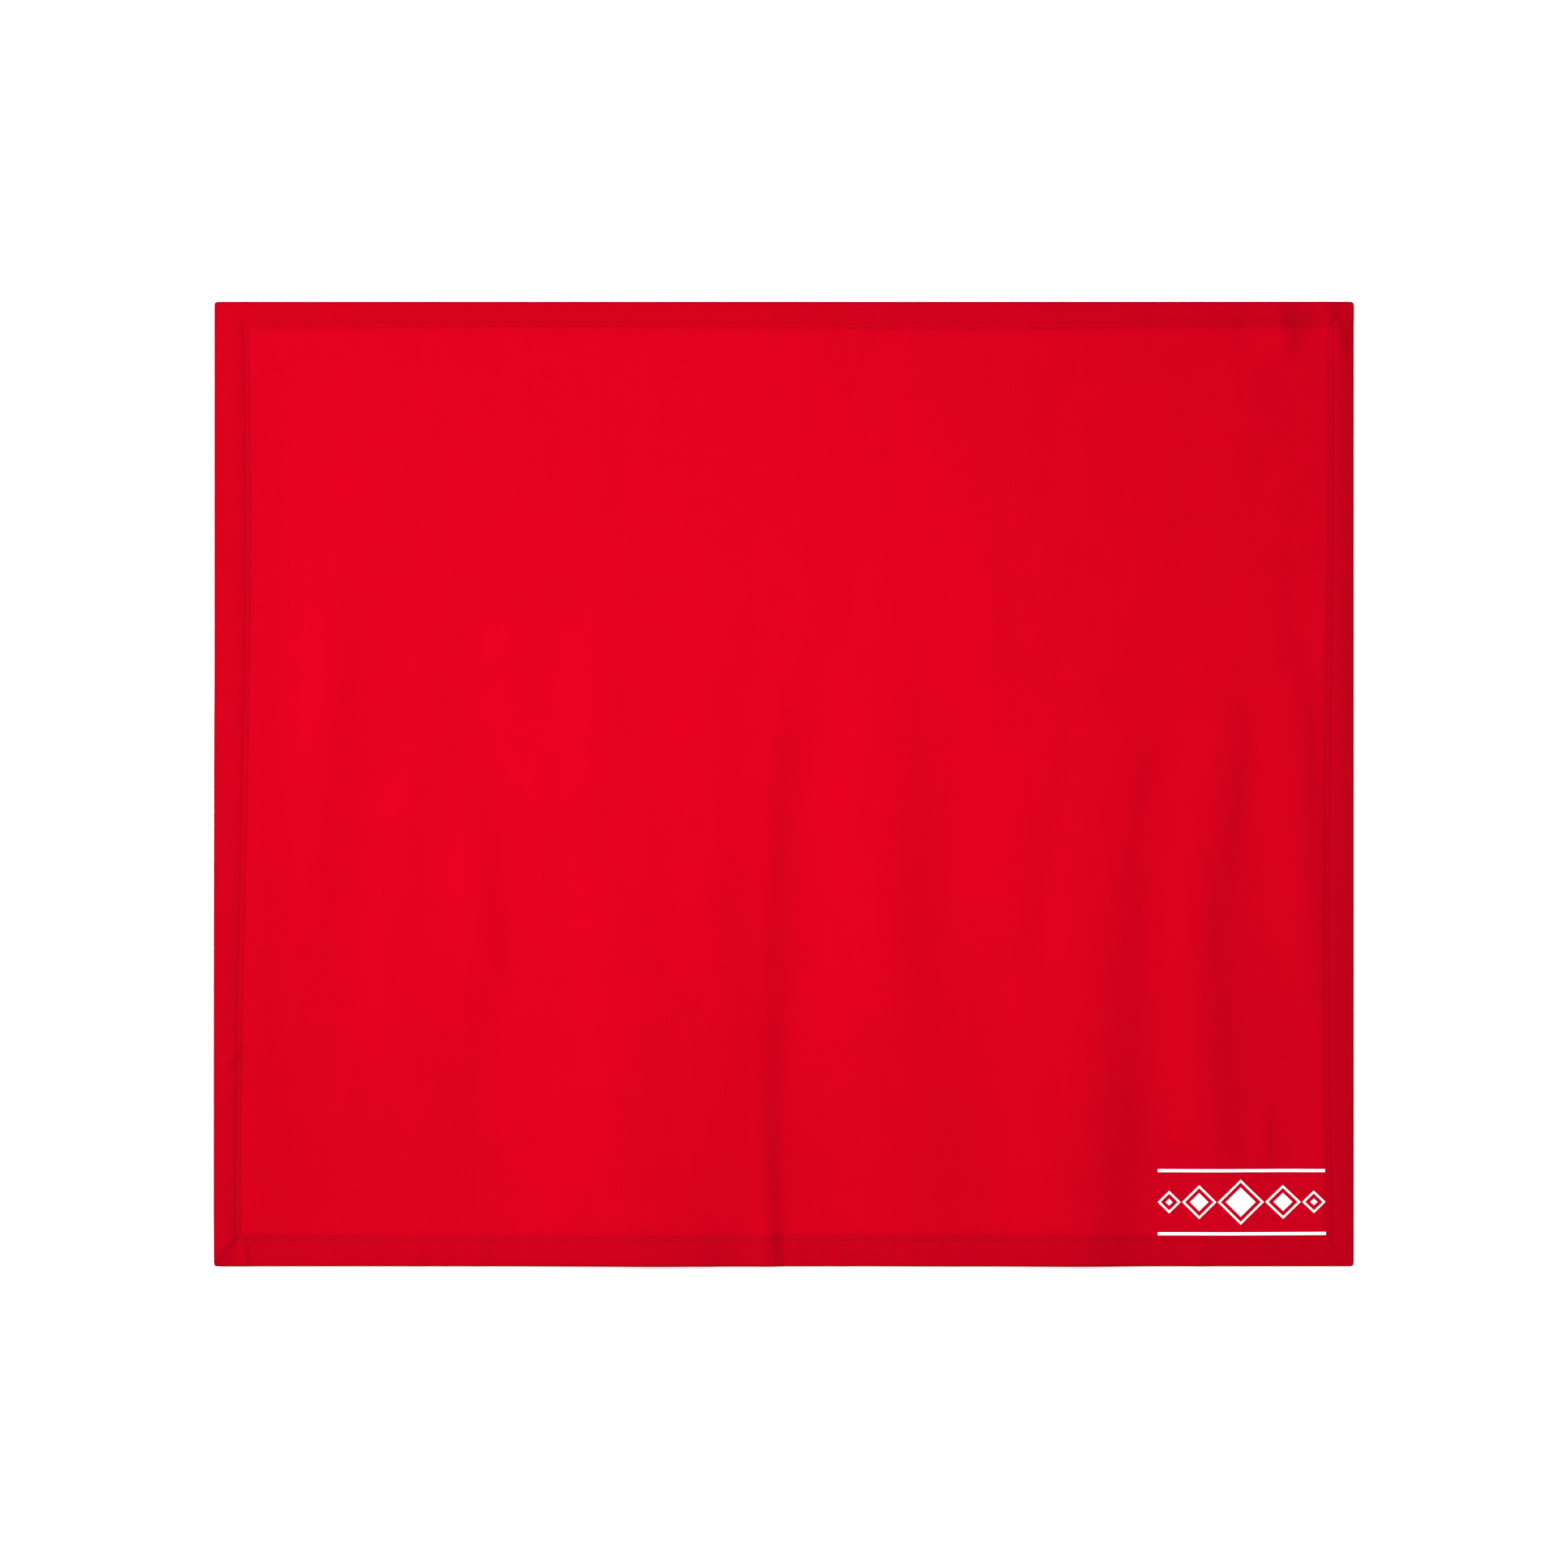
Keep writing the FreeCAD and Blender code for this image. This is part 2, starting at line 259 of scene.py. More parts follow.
def add_primitive(
    name: str, operator: Callable[..., object], scale: tuple[float, float, float] = (1, 1, 1),
    **settings: object,
) -> bpy.types.Object:
    """Adds a primitive with nothing else selected, and puts its place, turn and scale in its mesh.

    Args:
        name: the new object's name.
        operator: the operator that adds it.
        scale: how far it is stretched each way.
        settings: the operator's settings.

    Returns:
        The new object.
    """
    select_only()
    operator(**settings)
    piece = newest(name)
    piece.scale = scale
    bpy.ops.object.transform_apply(location=True, rotation=True, scale=True)
    return piece


@contextmanager
def editing(piece: bpy.types.Object) -> Iterator[bmesh.types.BMesh]:
    """Opens a piece in edit mode with nothing selected.

    Args:
        piece: the mesh to edit.

    Yields:
        Its edit mesh, to select in by place or normal.
    """
    select_only(piece)
    bpy.ops.object.mode_set(mode="EDIT")
    bpy.ops.mesh.select_all(action="DESELECT")
    yield bmesh.from_edit_mesh(piece.data)
    bpy.ops.object.mode_set(mode="OBJECT")


def face_outwards(piece: bpy.types.Object) -> None:
    """Turns all of a piece's faces outwards.

    Args:
        piece: the mesh to turn.
    """
    with editing(piece):
        bpy.ops.mesh.select_all(action="SELECT")
        bpy.ops.mesh.normals_make_consistent(inside=False)


def modify(piece: bpy.types.Object, kind: str, **settings: object) -> None:
    """Adds a modifier and applies it.

    Args:
        piece: the object to modify.
        kind: the modifier's type.
        settings: its settings.
    """
    select_only(piece)
    modifier = piece.modifiers.new(kind.title(), kind)
    for name, value in settings.items():
        setattr(modifier, name, value)
    bpy.ops.object.modifier_apply(modifier=modifier.name)


def repeat_along(piece: bpy.types.Object, count: int, pitch: float) -> None:
    """Repeats a stitch along X.

    Args:
        piece: the first stitch.
        count: how many there are in all.
        pitch: from one to the next.
    """
    modify(
        piece, "ARRAY", count=count, use_relative_offset=False, use_constant_offset=True,
        constant_offset_displace=(pitch * MM, 0, 0),
    )


def join(name: str, pieces: Sequence[bpy.types.Object]) -> bpy.types.Object:
    """Joins pieces into one.

    Args:
        name: the joined piece's name.
        pieces: the pieces, whose places are in their meshes.

    Returns:
        The joined piece.
    """
    select_only(*pieces)
    bpy.ops.object.join()
    return newest(name)


def turn_to(piece: bpy.types.Object, side: Side) -> None:
    """Turns a piece that was modelled along the bottom side to its own side.

    Args:
        piece: the piece.
        side: its side.
    """
    angle = math.radians(side.value)
    points = points_of(piece.data)
    x = points[:, 0] * math.cos(angle) - points[:, 1] * math.sin(angle)
    y = points[:, 0] * math.sin(angle) + points[:, 1] * math.cos(angle)
    set_points(piece.data, np.column_stack((x, y, points[:, 2])))


def dress(piece: bpy.types.Object, *materials: bpy.types.Material) -> None:
    """Gives a piece its materials, and smooth faces with crisp corners.

    Args:
        piece: the piece.
        materials: its materials, in slot order.
    """
    piece.data.materials.clear()
    for material in materials:
        piece.data.materials.append(material)
    select_only(piece)
    bpy.ops.object.shade_smooth_by_angle(angle=CRISP_ANGLE)


def extruded_thread(
    name: str, start: tuple[float, float, float], radius: float,
    steps: Sequence[tuple[float, float, float]], swell: Sequence[float],
) -> bpy.types.Object:
    """A short closed length of thread, extruded from its first end.

    Args:
        name: the piece's name.
        start: the middle of the first end.
        radius: the thread's radius. The first end starts at half of it.
        steps: how far each extrusion goes.
        swell: how much each extrusion's end grows.

    Returns:
        The piece.
    """
    thread = add_primitive(
        name, bpy.ops.mesh.primitive_circle_add, vertices=6, radius=radius * MM / 2, fill_type="NGON",
        location=metres(start), rotation=(0, math.pi / 2, 0),
    )
    centre = np.array(start)
    with editing(thread):
        bpy.ops.mesh.select_all(action="SELECT")
        for step, growth in zip(steps, swell):
            bpy.ops.mesh.extrude_region_move(TRANSFORM_OT_translate={"value": metres(step)})
            centre = centre + step
            bpy.ops.transform.resize(value=(1, growth, growth), center_override=metres(centre))
    face_outwards(thread)
    return thread


# ---------------------------------------------------------------------------------------------------------
# The laid surface
# ---------------------------------------------------------------------------------------------------------


@dataclass(frozen=True)
class Ripple:
    """A soft ridge left in the laid cloth: a long slope on its left, a short one on its right.

    It runs from head to foot, (x, y) each. Its slopes are long_slope and short_slope times width. Each fade
    is the share of the length over which that end dies away, and bow is how far the middle stands to the
    right of the straight line.
    """

    head: tuple[float, float]
    foot: tuple[float, float]
    width: float
    height: float
    long_slope: float = 1.7
    head_fade: float = 0.35
    foot_fade: float = 0.35
    bow: float = 0.0
    short_slope: float = 0.6

    def rise(self, x: np.ndarray, y: np.ndarray) -> np.ndarray:
        """How much the ridge lifts the cloth.

        Args:
            x: places across the blanket.
            y: places up the blanket.

        Returns:
            The lift at each place.
        """
        length = math.dist(self.head, self.foot)
        down = ((self.foot[0] - self.head[0]) / length, (self.foot[1] - self.head[1]) / length)
        offset_x, offset_y = x - self.head[0], y - self.head[1]
        share = (offset_x * down[0] + offset_y * down[1]) / length
        bend = self.bow * 4 * share * (1 - share)
        to_right = offset_y * down[0] - offset_x * down[1] - bend
        from_crest = to_right + self.width / 2
        spread = np.where(from_crest < 0, self.long_slope, self.short_slope) * self.width
        ends = ramp(share, 0, self.head_fade) * ramp(1 - share, 0, self.foot_fade)
        return self.height * bell(from_crest, spread) * ends


# The ridges of the laid cloth, left to right. Those that run off the bottom have their foot past the edge.
# Head, foot, width, height, long slope, head's fade, foot's fade, bow.
RIPPLES = (
    Ripple((-735, -60), (-735, -900), 40, 3.4, 1.0, 0.5),
    Ripple((-654, 167), (-663, -655), 174, 9.1, 1.8, 0.27, 0.13, -26),
    Ripple((-556, 290), (-602, -130), 26, 1.3, 1.7, 0.4, 0.4),
    Ripple((-531, 246), (-604, -402), 62, 2.6, 0.7, 0.5, 0.6, -19),
    Ripple((-476, 30), (-492, -130), 20, 0.9),
    Ripple((-422, 176), (-475, -436), 45, 1.0, 0.9, 0.5, 0.35, -31),
    Ripple((-418, 99), (-451, -494), 59, 3.4, 3.0, 0.35, 0.6, 54),
    Ripple((-398, -10), (-370, -300), 26, 1.6, 1.7, 0.4, 0.4),
    Ripple((-257, 67), (-191, -907), 63, 6.9, 1.9, 0.3, 0.45, 45),
    Ripple((-230, 321), (-116, -730), 79, 9.5, 0.5, 0.6, 0.12, -2),
    Ripple((-129, -150), (-108, -707), 114, 9.5, 1.0, 0.37, 0.33, 48),
    Ripple((-172, 20), (-160, -210), 24, 1.8, 1.7, 0.4, 0.5),
    Ripple((-84, 60), (-78, -190), 22, 1.8, 1.7, 0.4, 0.5),
    Ripple((-46, 287), (-33, -381), 69, 6.4, 3.0, 0.55, 0.3, -42),
    Ripple((15, 192), (-9, -720), 38, 3.8, 2.7, 0.22, 0.08, -15),
    Ripple((-24, -380), (-6, -700), 12, 1.2, 1.7, 0.35, 0.1),
    Ripple((193, 298), (237, -510), 81, 5.2, 0.8, 0.55, 0.6, -39),
    Ripple((184, -71), (319, -709), 132, 2.6, 0.5, 0.37, 0.12, -56),
    Ripple((380, 135), (318, -260), 26, 1.6, 1.7, 0.4, 0.4),
    Ripple((350, 116), (375, -528), 42, 1.5, 1.4, 0.32, 0.6, -34),
    Ripple((486, 251), (415, -1116), 91, 9.5, 0.9, 0.4, 0.23, -5),
    Ripple((488, 100), (436, -190), 24, 2.4, 1.7, 0.4, 0.5),
    Ripple((616, 110), (588, -180), 26, 1.6, 1.7, 0.35, 0.5, -6),
    Ripple((658, 300), (643, -661), 61, 4.6, 0.8, 0.5, 0.27, -74),
    Ripple((638, -410), (640, -525), 12, 1.3),
    Ripple((682, 170), (703, -90), 16, 1.4, 1.7, 0.4, 0.4),
    Ripple((654, 337), (716, -437), 45, 4.4, 0.8, 0.6, 0.6, 10),
)

# Short creases in and beside the hems: drag lines, and pleats at the corners. The same columns.
CREASES = (
    Ripple((-746, -376), (-714, -334), 8, 1.3, 1.2),
    Ripple((-744, -412), (-712, -380), 7, 0.7, 1.2),
    Ripple((-708, -590), (-700, -652), 8, 1.2, 1.2),
    Ripple((-474, -590), (-472, -660), 13, 0.8, 1.2),
    Ripple((-436, -592), (-438, -660), 12, 0.7, 1.2),
    Ripple((-396, -588), (-394, -660), 13, 0.9, 1.2),
    Ripple((-708, -593), (-752, -637), 9, 1.2, 1.7, 0.3, 0.1),
    Ripple((-97, -565), (-95, -690), 30, 0.8, 0.6, 0.35, 0.2),
    Ripple((-90, -585), (-88, -668), 12, 0.9, 1.2),
    Ripple((-12, -560), (-5, -668), 15, 1.4, 1.2),
    Ripple((22, -580), (30, -668), 10, 1.2, 1.2),
    Ripple((50, -592), (50, -662), 9, 0.9, 1.2),
    Ripple((84, -588), (80, -662), 11, 0.8, 1.2),
    Ripple((560, -585), (556, -665), 14, 1.1, 1.2),
    Ripple((790, 606), (400, 606), 20, 2.4, 1.0, 0.15, 0.6),
    Ripple((657, 640), (673, 552), 20, 3.0, 1.2, 0.25),
    Ripple((700, 640), (741, 545), 13, 2.0, 1.1, 0.2, 0.35, 11),
)


@dataclass(frozen=True)
class Wander:
    """How far a hand-guided seam strays inwards from its line: mean, and a slow swing along the side."""

    mean: float
    swing: float
    period: float
    crest: float

    def at(self, along: np.ndarray) -> np.ndarray:
        """The stray at these places along the side."""
        return self.mean + self.swing * np.cos(2 * math.pi * (along - self.crest) / self.period)


@dataclass
class Drape:
    """The laid cloth as a surface: where each place of the flat blanket lies, and which way it faces there.

    A value called a ramp holds the distance at which a change starts and the length that it takes.
    stray_ramp's starts at the seam. mitre_depths goes round from the lower left corner, and mitre_ends is
    how soon a mitre's dent dies away inwards and outwards. pucker_drift holds the size and length of the
    waves that keep the puckers from being even. swells holds, for each kind of unevenness of the cloth, its
    weight, its length across and along the wales, and its level in the noise.
    """

    layout: Layout
    turn_depth: float = 1.9
    pitch: float = 8.0
    fold_rows: int = 13
    fold_clear: float = 1.0
    inner_level: float = 1.45
    level_run: float = 55.0
    ripple_limit: float = 10.0
    fold_limit: float = 5.0
    fold_ramp: tuple[float, float] = (50.0, 160.0)
    hem_hold: float = 0.18
    hold_ramp: tuple[float, float] = (20.0, 45.0)
    stray_ramp: tuple[float, float] = (8.0, 110.0)
    hem_crown: float = 0.35
    crown_power: float = 0.8
    dent_depth: float = 0.34
    dent_spread: float = 1.6
    cross_dent: float = 0.5
    mitre_spread: float = 3.4
    mitre_depths: tuple[float, ...] = (0.4, 0.5, 0.6, 0.2)
    mitre_ends: tuple[float, float] = (4.0, 6.0)
    pucker_height: float = 0.45
    pucker_pitch: float = 33.0
    pucker_spread: float = 15.0
    pucker_least: float = 0.35
    pucker_group: float = 163.0
    pucker_shift: float = 0.8
    pucker_drift: tuple[tuple[float, float], ...] = ((2.1, 71.0), (1.3, 29.0))
    unevenness: float = 0.55
    swell_run: float = 60.0
    swells: tuple[tuple[float, ...], ...] = ((1.0, 60.0, 210.0, 3.7), (1.4, 190.0, 420.0, 9.2))
    wanders: dict[Side, Wander] = field(
        default_factory=lambda: {
            Side.LEFT: Wander(mean=4.6, swing=6.2, period=1750, crest=330),
            Side.RIGHT: Wander(mean=-2.4, swing=2.9, period=1350, crest=-200),
            Side.TOP: Wander(mean=-3.3, swing=1.0, period=1100, crest=200),
            Side.BOTTOM: Wander(mean=2.0, swing=1.0, period=900, crest=100),
        }
    )

    def __post_init__(self) -> None:
        """Works out the surface on its grid."""
        self.across = self._stations(self.layout.half_width)
        self.up = self._with_fold_rows(self._stations(self.layout.half_height))
        x, y = np.meshgrid(self.across, self.up)
        self.points = self._lay_out(x, y)
        self.relief = self._relief(x, y)
        self.facing = self._facing()

    def _stations(self, half: float) -> np.ndarray:
        """Grid lines from edge to edge, close together at the edge and the needle rows.

        Args:
            half: half the blanket's size this way.

        Returns:
            Their places, lowest first.
        """
        rim = [0.0, 0.25, 0.8, self.turn_depth - 0.1, self.turn_depth + 0.1, 3.5, 6.0, 11.0, 17.0, 23.0]
        outer = [self.layout.outer_row + step for step in (-3, -1.6, -0.7, 0, 0.7, 1.6)]
        inner = [self.layout.inner_row + step for step in (-1.6, -0.7, 0, 0.7, 1.6, 3)]
        run_in = [self.layout.hem + step for step in (4, 8, 13, 19)]
        border = np.array(rim + outer + inner + run_in)
        clear = half - border[-1]
        count = math.ceil(2 * clear / self.pitch)
        inside = np.linspace(-clear, clear, count + 1)[1:-1]
        return np.concatenate((border - half, inside, (half - border)[::-1]))

    def _with_fold_rows(self, rows: np.ndarray) -> np.ndarray:
        """Adds close rows about the fold line, where the cloth bends sharply when it is folded.

        Args:
            rows: the rows without them.

        Returns:
            All rows, lowest first.
        """
        reach = self.layout.fold_reach
        fold = np.linspace(-reach, reach, self.fold_rows)
        return np.sort(np.concatenate((rows[np.abs(rows) > reach + self.fold_clear], fold)))

    def edge_distances(self, x: np.ndarray, y: np.ndarray) -> dict[Side, np.ndarray]:
        """How far each place is from each edge of the flat blanket."""
        wide, high = self.layout.half_width, self.layout.half_height
        return {Side.LEFT: x + wide, Side.RIGHT: wide - x, Side.BOTTOM: y + high, Side.TOP: high - y}

    def nearest_edge(self, x: np.ndarray, y: np.ndarray) -> np.ndarray:
        """How far each place is from the nearest edge."""
        return np.min(np.stack(list(self.edge_distances(x, y).values())), axis=0)

    def _lay_out(self, x: np.ndarray, y: np.ndarray) -> np.ndarray:
        """The middle of the face cloth at each place.

        Args:
            x: places across the flat blanket.
            y: places up the flat blanket.

        Returns:
            Points on the laid cloth.
        """
        edges = self.edge_distances(x, y)
        along = {Side.LEFT: y, Side.RIGHT: y, Side.BOTTOM: x, Side.TOP: x}
        stray = {side: self._stray(side, along[side], edges[side]) for side in Side}
        laid_x, laid_y = self._round_corners(x, y)
        laid_x = laid_x + stray[Side.LEFT] - stray[Side.RIGHT]
        laid_y = laid_y + stray[Side.BOTTOM] - stray[Side.TOP]
        return np.stack((laid_x, laid_y, self._level(x, y, edges, along)), axis=-1)

    def _stray(self, side: Side, along: np.ndarray, edge: np.ndarray) -> np.ndarray:
        """How far inwards the cloth is drawn by its wandering seam, dying away to the edge and to the middle.

        Args:
            side: the seam's side.
            along: places along the side.
            edge: how far they are from it.

        Returns:
            The stray at each place.
        """
        start, length = self.stray_ramp
        share = ramp(edge, 0, self.layout.seam) * (1 - ramp(edge, self.layout.seam + start, length))
        return self.wanders[side].at(along) * share

    def _round_corners(self, x: np.ndarray, y: np.ndarray) -> tuple[np.ndarray, np.ndarray]:
        """Draws the square corners in to their radius, by the map from a square to a disc.

        Args:
            x: places across the flat blanket.
            y: places up the flat blanket.

        Returns:
            The places with the corners drawn in.
        """
        radius = self.layout.corner_radius
        # The map takes half of each square. A little less keeps the last cell in the corner from closing up.
        pull = 0.45
        past_x = np.clip((np.abs(x) - self.layout.half_width + radius) / radius, 0, 1)
        past_y = np.clip((np.abs(y) - self.layout.half_height + radius) / radius, 0, 1)
        drawn_x = past_x * (1 - np.sqrt(1 - pull * past_y**2)) * radius
        drawn_y = past_y * (1 - np.sqrt(1 - pull * past_x**2)) * radius
        return x - np.sign(x) * drawn_x, y - np.sign(y) * drawn_y

    def _level(
        self, x: np.ndarray, y: np.ndarray, edges: dict[Side, np.ndarray], along: dict[Side, np.ndarray]
    ) -> np.ndarray:
        """The height of the middle of the face cloth.

        Args:
            x: places across the flat blanket.
            y: places up the flat blanket.
            edges: how far they are from each edge.
            along: where they are along each side.

        Returns:
            The height at each place.
        """
        edge = np.min(np.stack(list(edges.values())), axis=0)
        inside = ramp(edge, self.layout.hem, self.level_run)
        rest = self.layout.face_middle * (1 - inside) + self.inner_level * inside
        ridges = sum(ripple.rise(x, y) for ripple in RIPPLES)
        limit = self.fold_limit + (self.ripple_limit - self.fold_limit) * ramp(np.abs(y), *self.fold_ramp)
        ridges = limit * np.tanh(ridges / limit)
        held = 1 - self.hem_hold * (1 - ramp(edge, *self.hold_ramp))
        creases = sum(crease.rise(x, y) for crease in CREASES)
        puckers = sum(self._puckers(along[side], edges[side]) for side in Side)
        return rest + ridges * held + creases + puckers + self._softness(x, y, edge)

    def _puckers(self, along: np.ndarray, edge: np.ndarray) -> np.ndarray:
        """Small waves where the stitches gather the hem, never below the cloth's own level.

        Args:
            along: places along the side.
            edge: how far they are from it.

        Returns:
            The height at each place.
        """
        drift = sum(size * np.sin(along / length) for size, length in self.pucker_drift)
        phase = 2 * math.pi * along / self.pucker_pitch + drift
        group = np.square(np.sin(along / self.pucker_group + self.pucker_shift))
        strength = self.pucker_least + (1 - self.pucker_least) * group
        near_seam = bell(edge - self.layout.seam, self.pucker_spread)
        return self.pucker_height * strength * near_seam * (0.5 + 0.5 * np.sin(phase))

    def _softness(self, x: np.ndarray, y: np.ndarray, edge: np.ndarray) -> np.ndarray:
        """The slight unevenness of limp cloth, longer along the wales than across them.

        Args:
            x: places across the flat blanket.
            y: places up the flat blanket.
            edge: how far they are from the nearest edge.

        Returns:
            The height at each place.
        """
        waves = [
            sum(
                weight * noise.noise(Vector((px / across, py / along, level)))
                for weight, across, along, level in self.swells
            )
            for px, py in zip(x.ravel(), y.ravel())
        ]
        inside = ramp(edge, self.layout.hem, self.swell_run)
        return self.unevenness * (1 + np.reshape(waves, x.shape)) * inside

    def _relief(self, x: np.ndarray, y: np.ndarray) -> np.ndarray:
        """What the face alone does: it crowns over each hem and dents along the needle rows and the mitres.

        Args:
            x: places across the flat blanket.
            y: places up the flat blanket.

        Returns:
            How far the face stands out at each place.
        """
        edge = self.nearest_edge(x, y)
        outer, inner = self.layout.outer_row, self.layout.inner_row
        crown = self.hem_crown * np.sin(math.pi * np.clip(edge / outer, 0, 1)) ** self.crown_power
        dents = bell(edge - outer, self.dent_spread) + bell(edge - inner, self.dent_spread)
        corner_x = self.layout.half_width - np.abs(x)
        corner_y = self.layout.half_height - np.abs(y)
        # Seams along the wales sink deeper than those across them.
        dents = dents * np.where(corner_x < corner_y, 1.0, self.cross_dent)
        inner_end, outer_end = self.mitre_ends
        on_mitre = ramp(self.layout.hem - np.maximum(corner_x, corner_y), 0, inner_end)
        mitre = bell(corner_x - corner_y, self.mitre_spread) * on_mitre * ramp(edge, 0, outer_end)
        low_left, low_right, top_right, top_left = self.mitre_depths
        depth = np.where(y < 0, np.where(x < 0, low_left, low_right), np.where(x < 0, top_left, top_right))
        return crown - self.dent_depth * dents - depth * mitre

    def _facing(self) -> np.ndarray:
        """The direction that the cloth faces, from the slope of its surface.

        Returns:
            A unit vector for each grid point.
        """
        rise_up, rise_across = np.gradient(self.points[..., 2], self.up, self.across)
        facing = np.stack((-rise_across, -rise_up, np.ones_like(rise_up)), axis=-1)
        return facing / np.linalg.norm(facing, axis=-1, keepdims=True)

    def _sample(self, grid: np.ndarray, flat: np.ndarray) -> np.ndarray:
        """Reads a grid of values between its points.

        Args:
            grid: values at the grid points.
            flat: places on the flat blanket.

        Returns:
            The value at each place.
        """
        column = np.clip(np.searchsorted(self.across, flat[:, 0], side="right") - 1, 0, len(self.across) - 2)
        row = np.clip(np.searchsorted(self.up, flat[:, 1], side="right") - 1, 0, len(self.up) - 2)
        right = (flat[:, 0] - self.across[column]) / (self.across[column + 1] - self.across[column])
        above = (flat[:, 1] - self.up[row]) / (self.up[row + 1] - self.up[row])
        if grid.ndim == 3:
            right, above = right[:, None], above[:, None]
        lower = grid[row, column] * (1 - right) + grid[row, column + 1] * right
        upper = grid[row + 1, column] * (1 - right) + grid[row + 1, column + 1] * right
        return lower * (1 - above) + upper * above

    def place(self, flat: np.ndarray, skin: Skin) -> np.ndarray:
        """Lays points of the flat blanket on the cloth.

        Args:
            flat: points as the flat blanket has them.
            skin: which side of the cloth they belong to. The face's own relief moves only what lies on it.

        Returns:
            The points where they lie.
        """
        away = flat[:, 2] - self.layout.face_middle
        if skin is Skin.FACE:
            away = away + self._sample(self.relief, flat)
        return self._sample(self.points, flat) + self._sample(self.facing, flat) * away[:, None]

    def lay(self, piece: bpy.types.Object, skin: Skin) -> None:
        """Lays a piece that was modelled flat, and keeps its flat place as its UV map.

        Args:
            piece: the piece, at its place on the flat blanket.
            skin: which side of the cloth it lies on.
        """
        flat = points_of(piece.data)
        keep_flat_place(piece.data, flat)
        set_points(piece.data, self.place(flat, skin))


# ---------------------------------------------------------------------------------------------------------
# Finishes
# ---------------------------------------------------------------------------------------------------------


def linear(colour: str) -> tuple[float, float, float, float]:
    """Turns an sRGB hex colour to the linear colour that a shader takes.

    Args:
        colour: the colour, such as "#B00017".

    Returns:
        Its red, green, blue and alpha.
    """
    parts = (int(colour[index:index + 2], 16) / 255 for index in (1, 3, 5))
    light = [part / 12.92 if part <= 0.04045 else ((part + 0.055) / 1.055) ** 2.4 for part in parts]
    return (*light, 1.0)


def add_node(
    tree: bpy.types.NodeTree, kind: str, inputs: dict[str | int, object] | None = None, **settings: object
) -> bpy.types.Node:
    """Adds a node to a tree.

    Args:
        tree: the node tree.
        kind: the node's type name.
        inputs: for each input, a value, or the socket that feeds it.
        settings: the node's own settings.

    Returns:
        The node.
    """
    item = tree.nodes.new(kind)
    for name, value in settings.items():
        setattr(item, name, value)
    for name, value in (inputs or {}).items():
        if isinstance(value, bpy.types.NodeSocket):
            tree.links.new(value, item.inputs[name])
        else:
            item.inputs[name].default_value = value
    return item


def new_material(
    name: str, **inputs: object
) -> tuple[bpy.types.Material, bpy.types.NodeTree, bpy.types.Node]:
    """A new material with a bare shader and output.

    Args:
        name: the material's name.
        inputs: the shader's constants, with _ for each space.

    Returns:
        The material, its node tree and its shader.
    """
    material = bpy.data.materials.new(name)
    material.use_nodes = True
    tree = material.node_tree
    tree.nodes.clear()
    constants = {key.replace("_", " "): value for key, value in inputs.items()}
    shader = add_node(tree, "ShaderNodeBsdfPrincipled", constants)
    add_node(tree, "ShaderNodeOutputMaterial", {"Surface": shader.outputs["BSDF"]})
    return material, tree, shader


def tint_and_raise(
    tree: bpy.types.NodeTree, shader: bpy.types.Node, pattern: bpy.types.NodeSocket,
    tones: tuple[str, str], relief: float, strength: float,
) -> None:
    """Colours a surface between two tones by a pattern, and raises it by the same pattern.

    Args:
        tree: the material's node tree.
        shader: its shader.
        pattern: the pattern, 0 to 1.
        tones: the colour at 0 and the colour at 1.
        relief: how far the pattern stands up, in millimetres.
        strength: how strongly that bends the light.
    """
    mix = {MIX_SHARE: pattern, MIX_FROM: linear(tones[0]), MIX_TO: linear(tones[1])}
    tint = add_node(tree, "ShaderNodeMix", mix, data_type="RGBA").outputs[MIX_RESULT]
    bump = add_node(
        tree, "ShaderNodeBump", {"Height": pattern, "Distance": relief * MM, "Strength": strength}
    ).outputs["Normal"]
    tree.links.new(tint, shader.inputs["Base Color"])
    tree.links.new(bump, shader.inputs["Normal"])


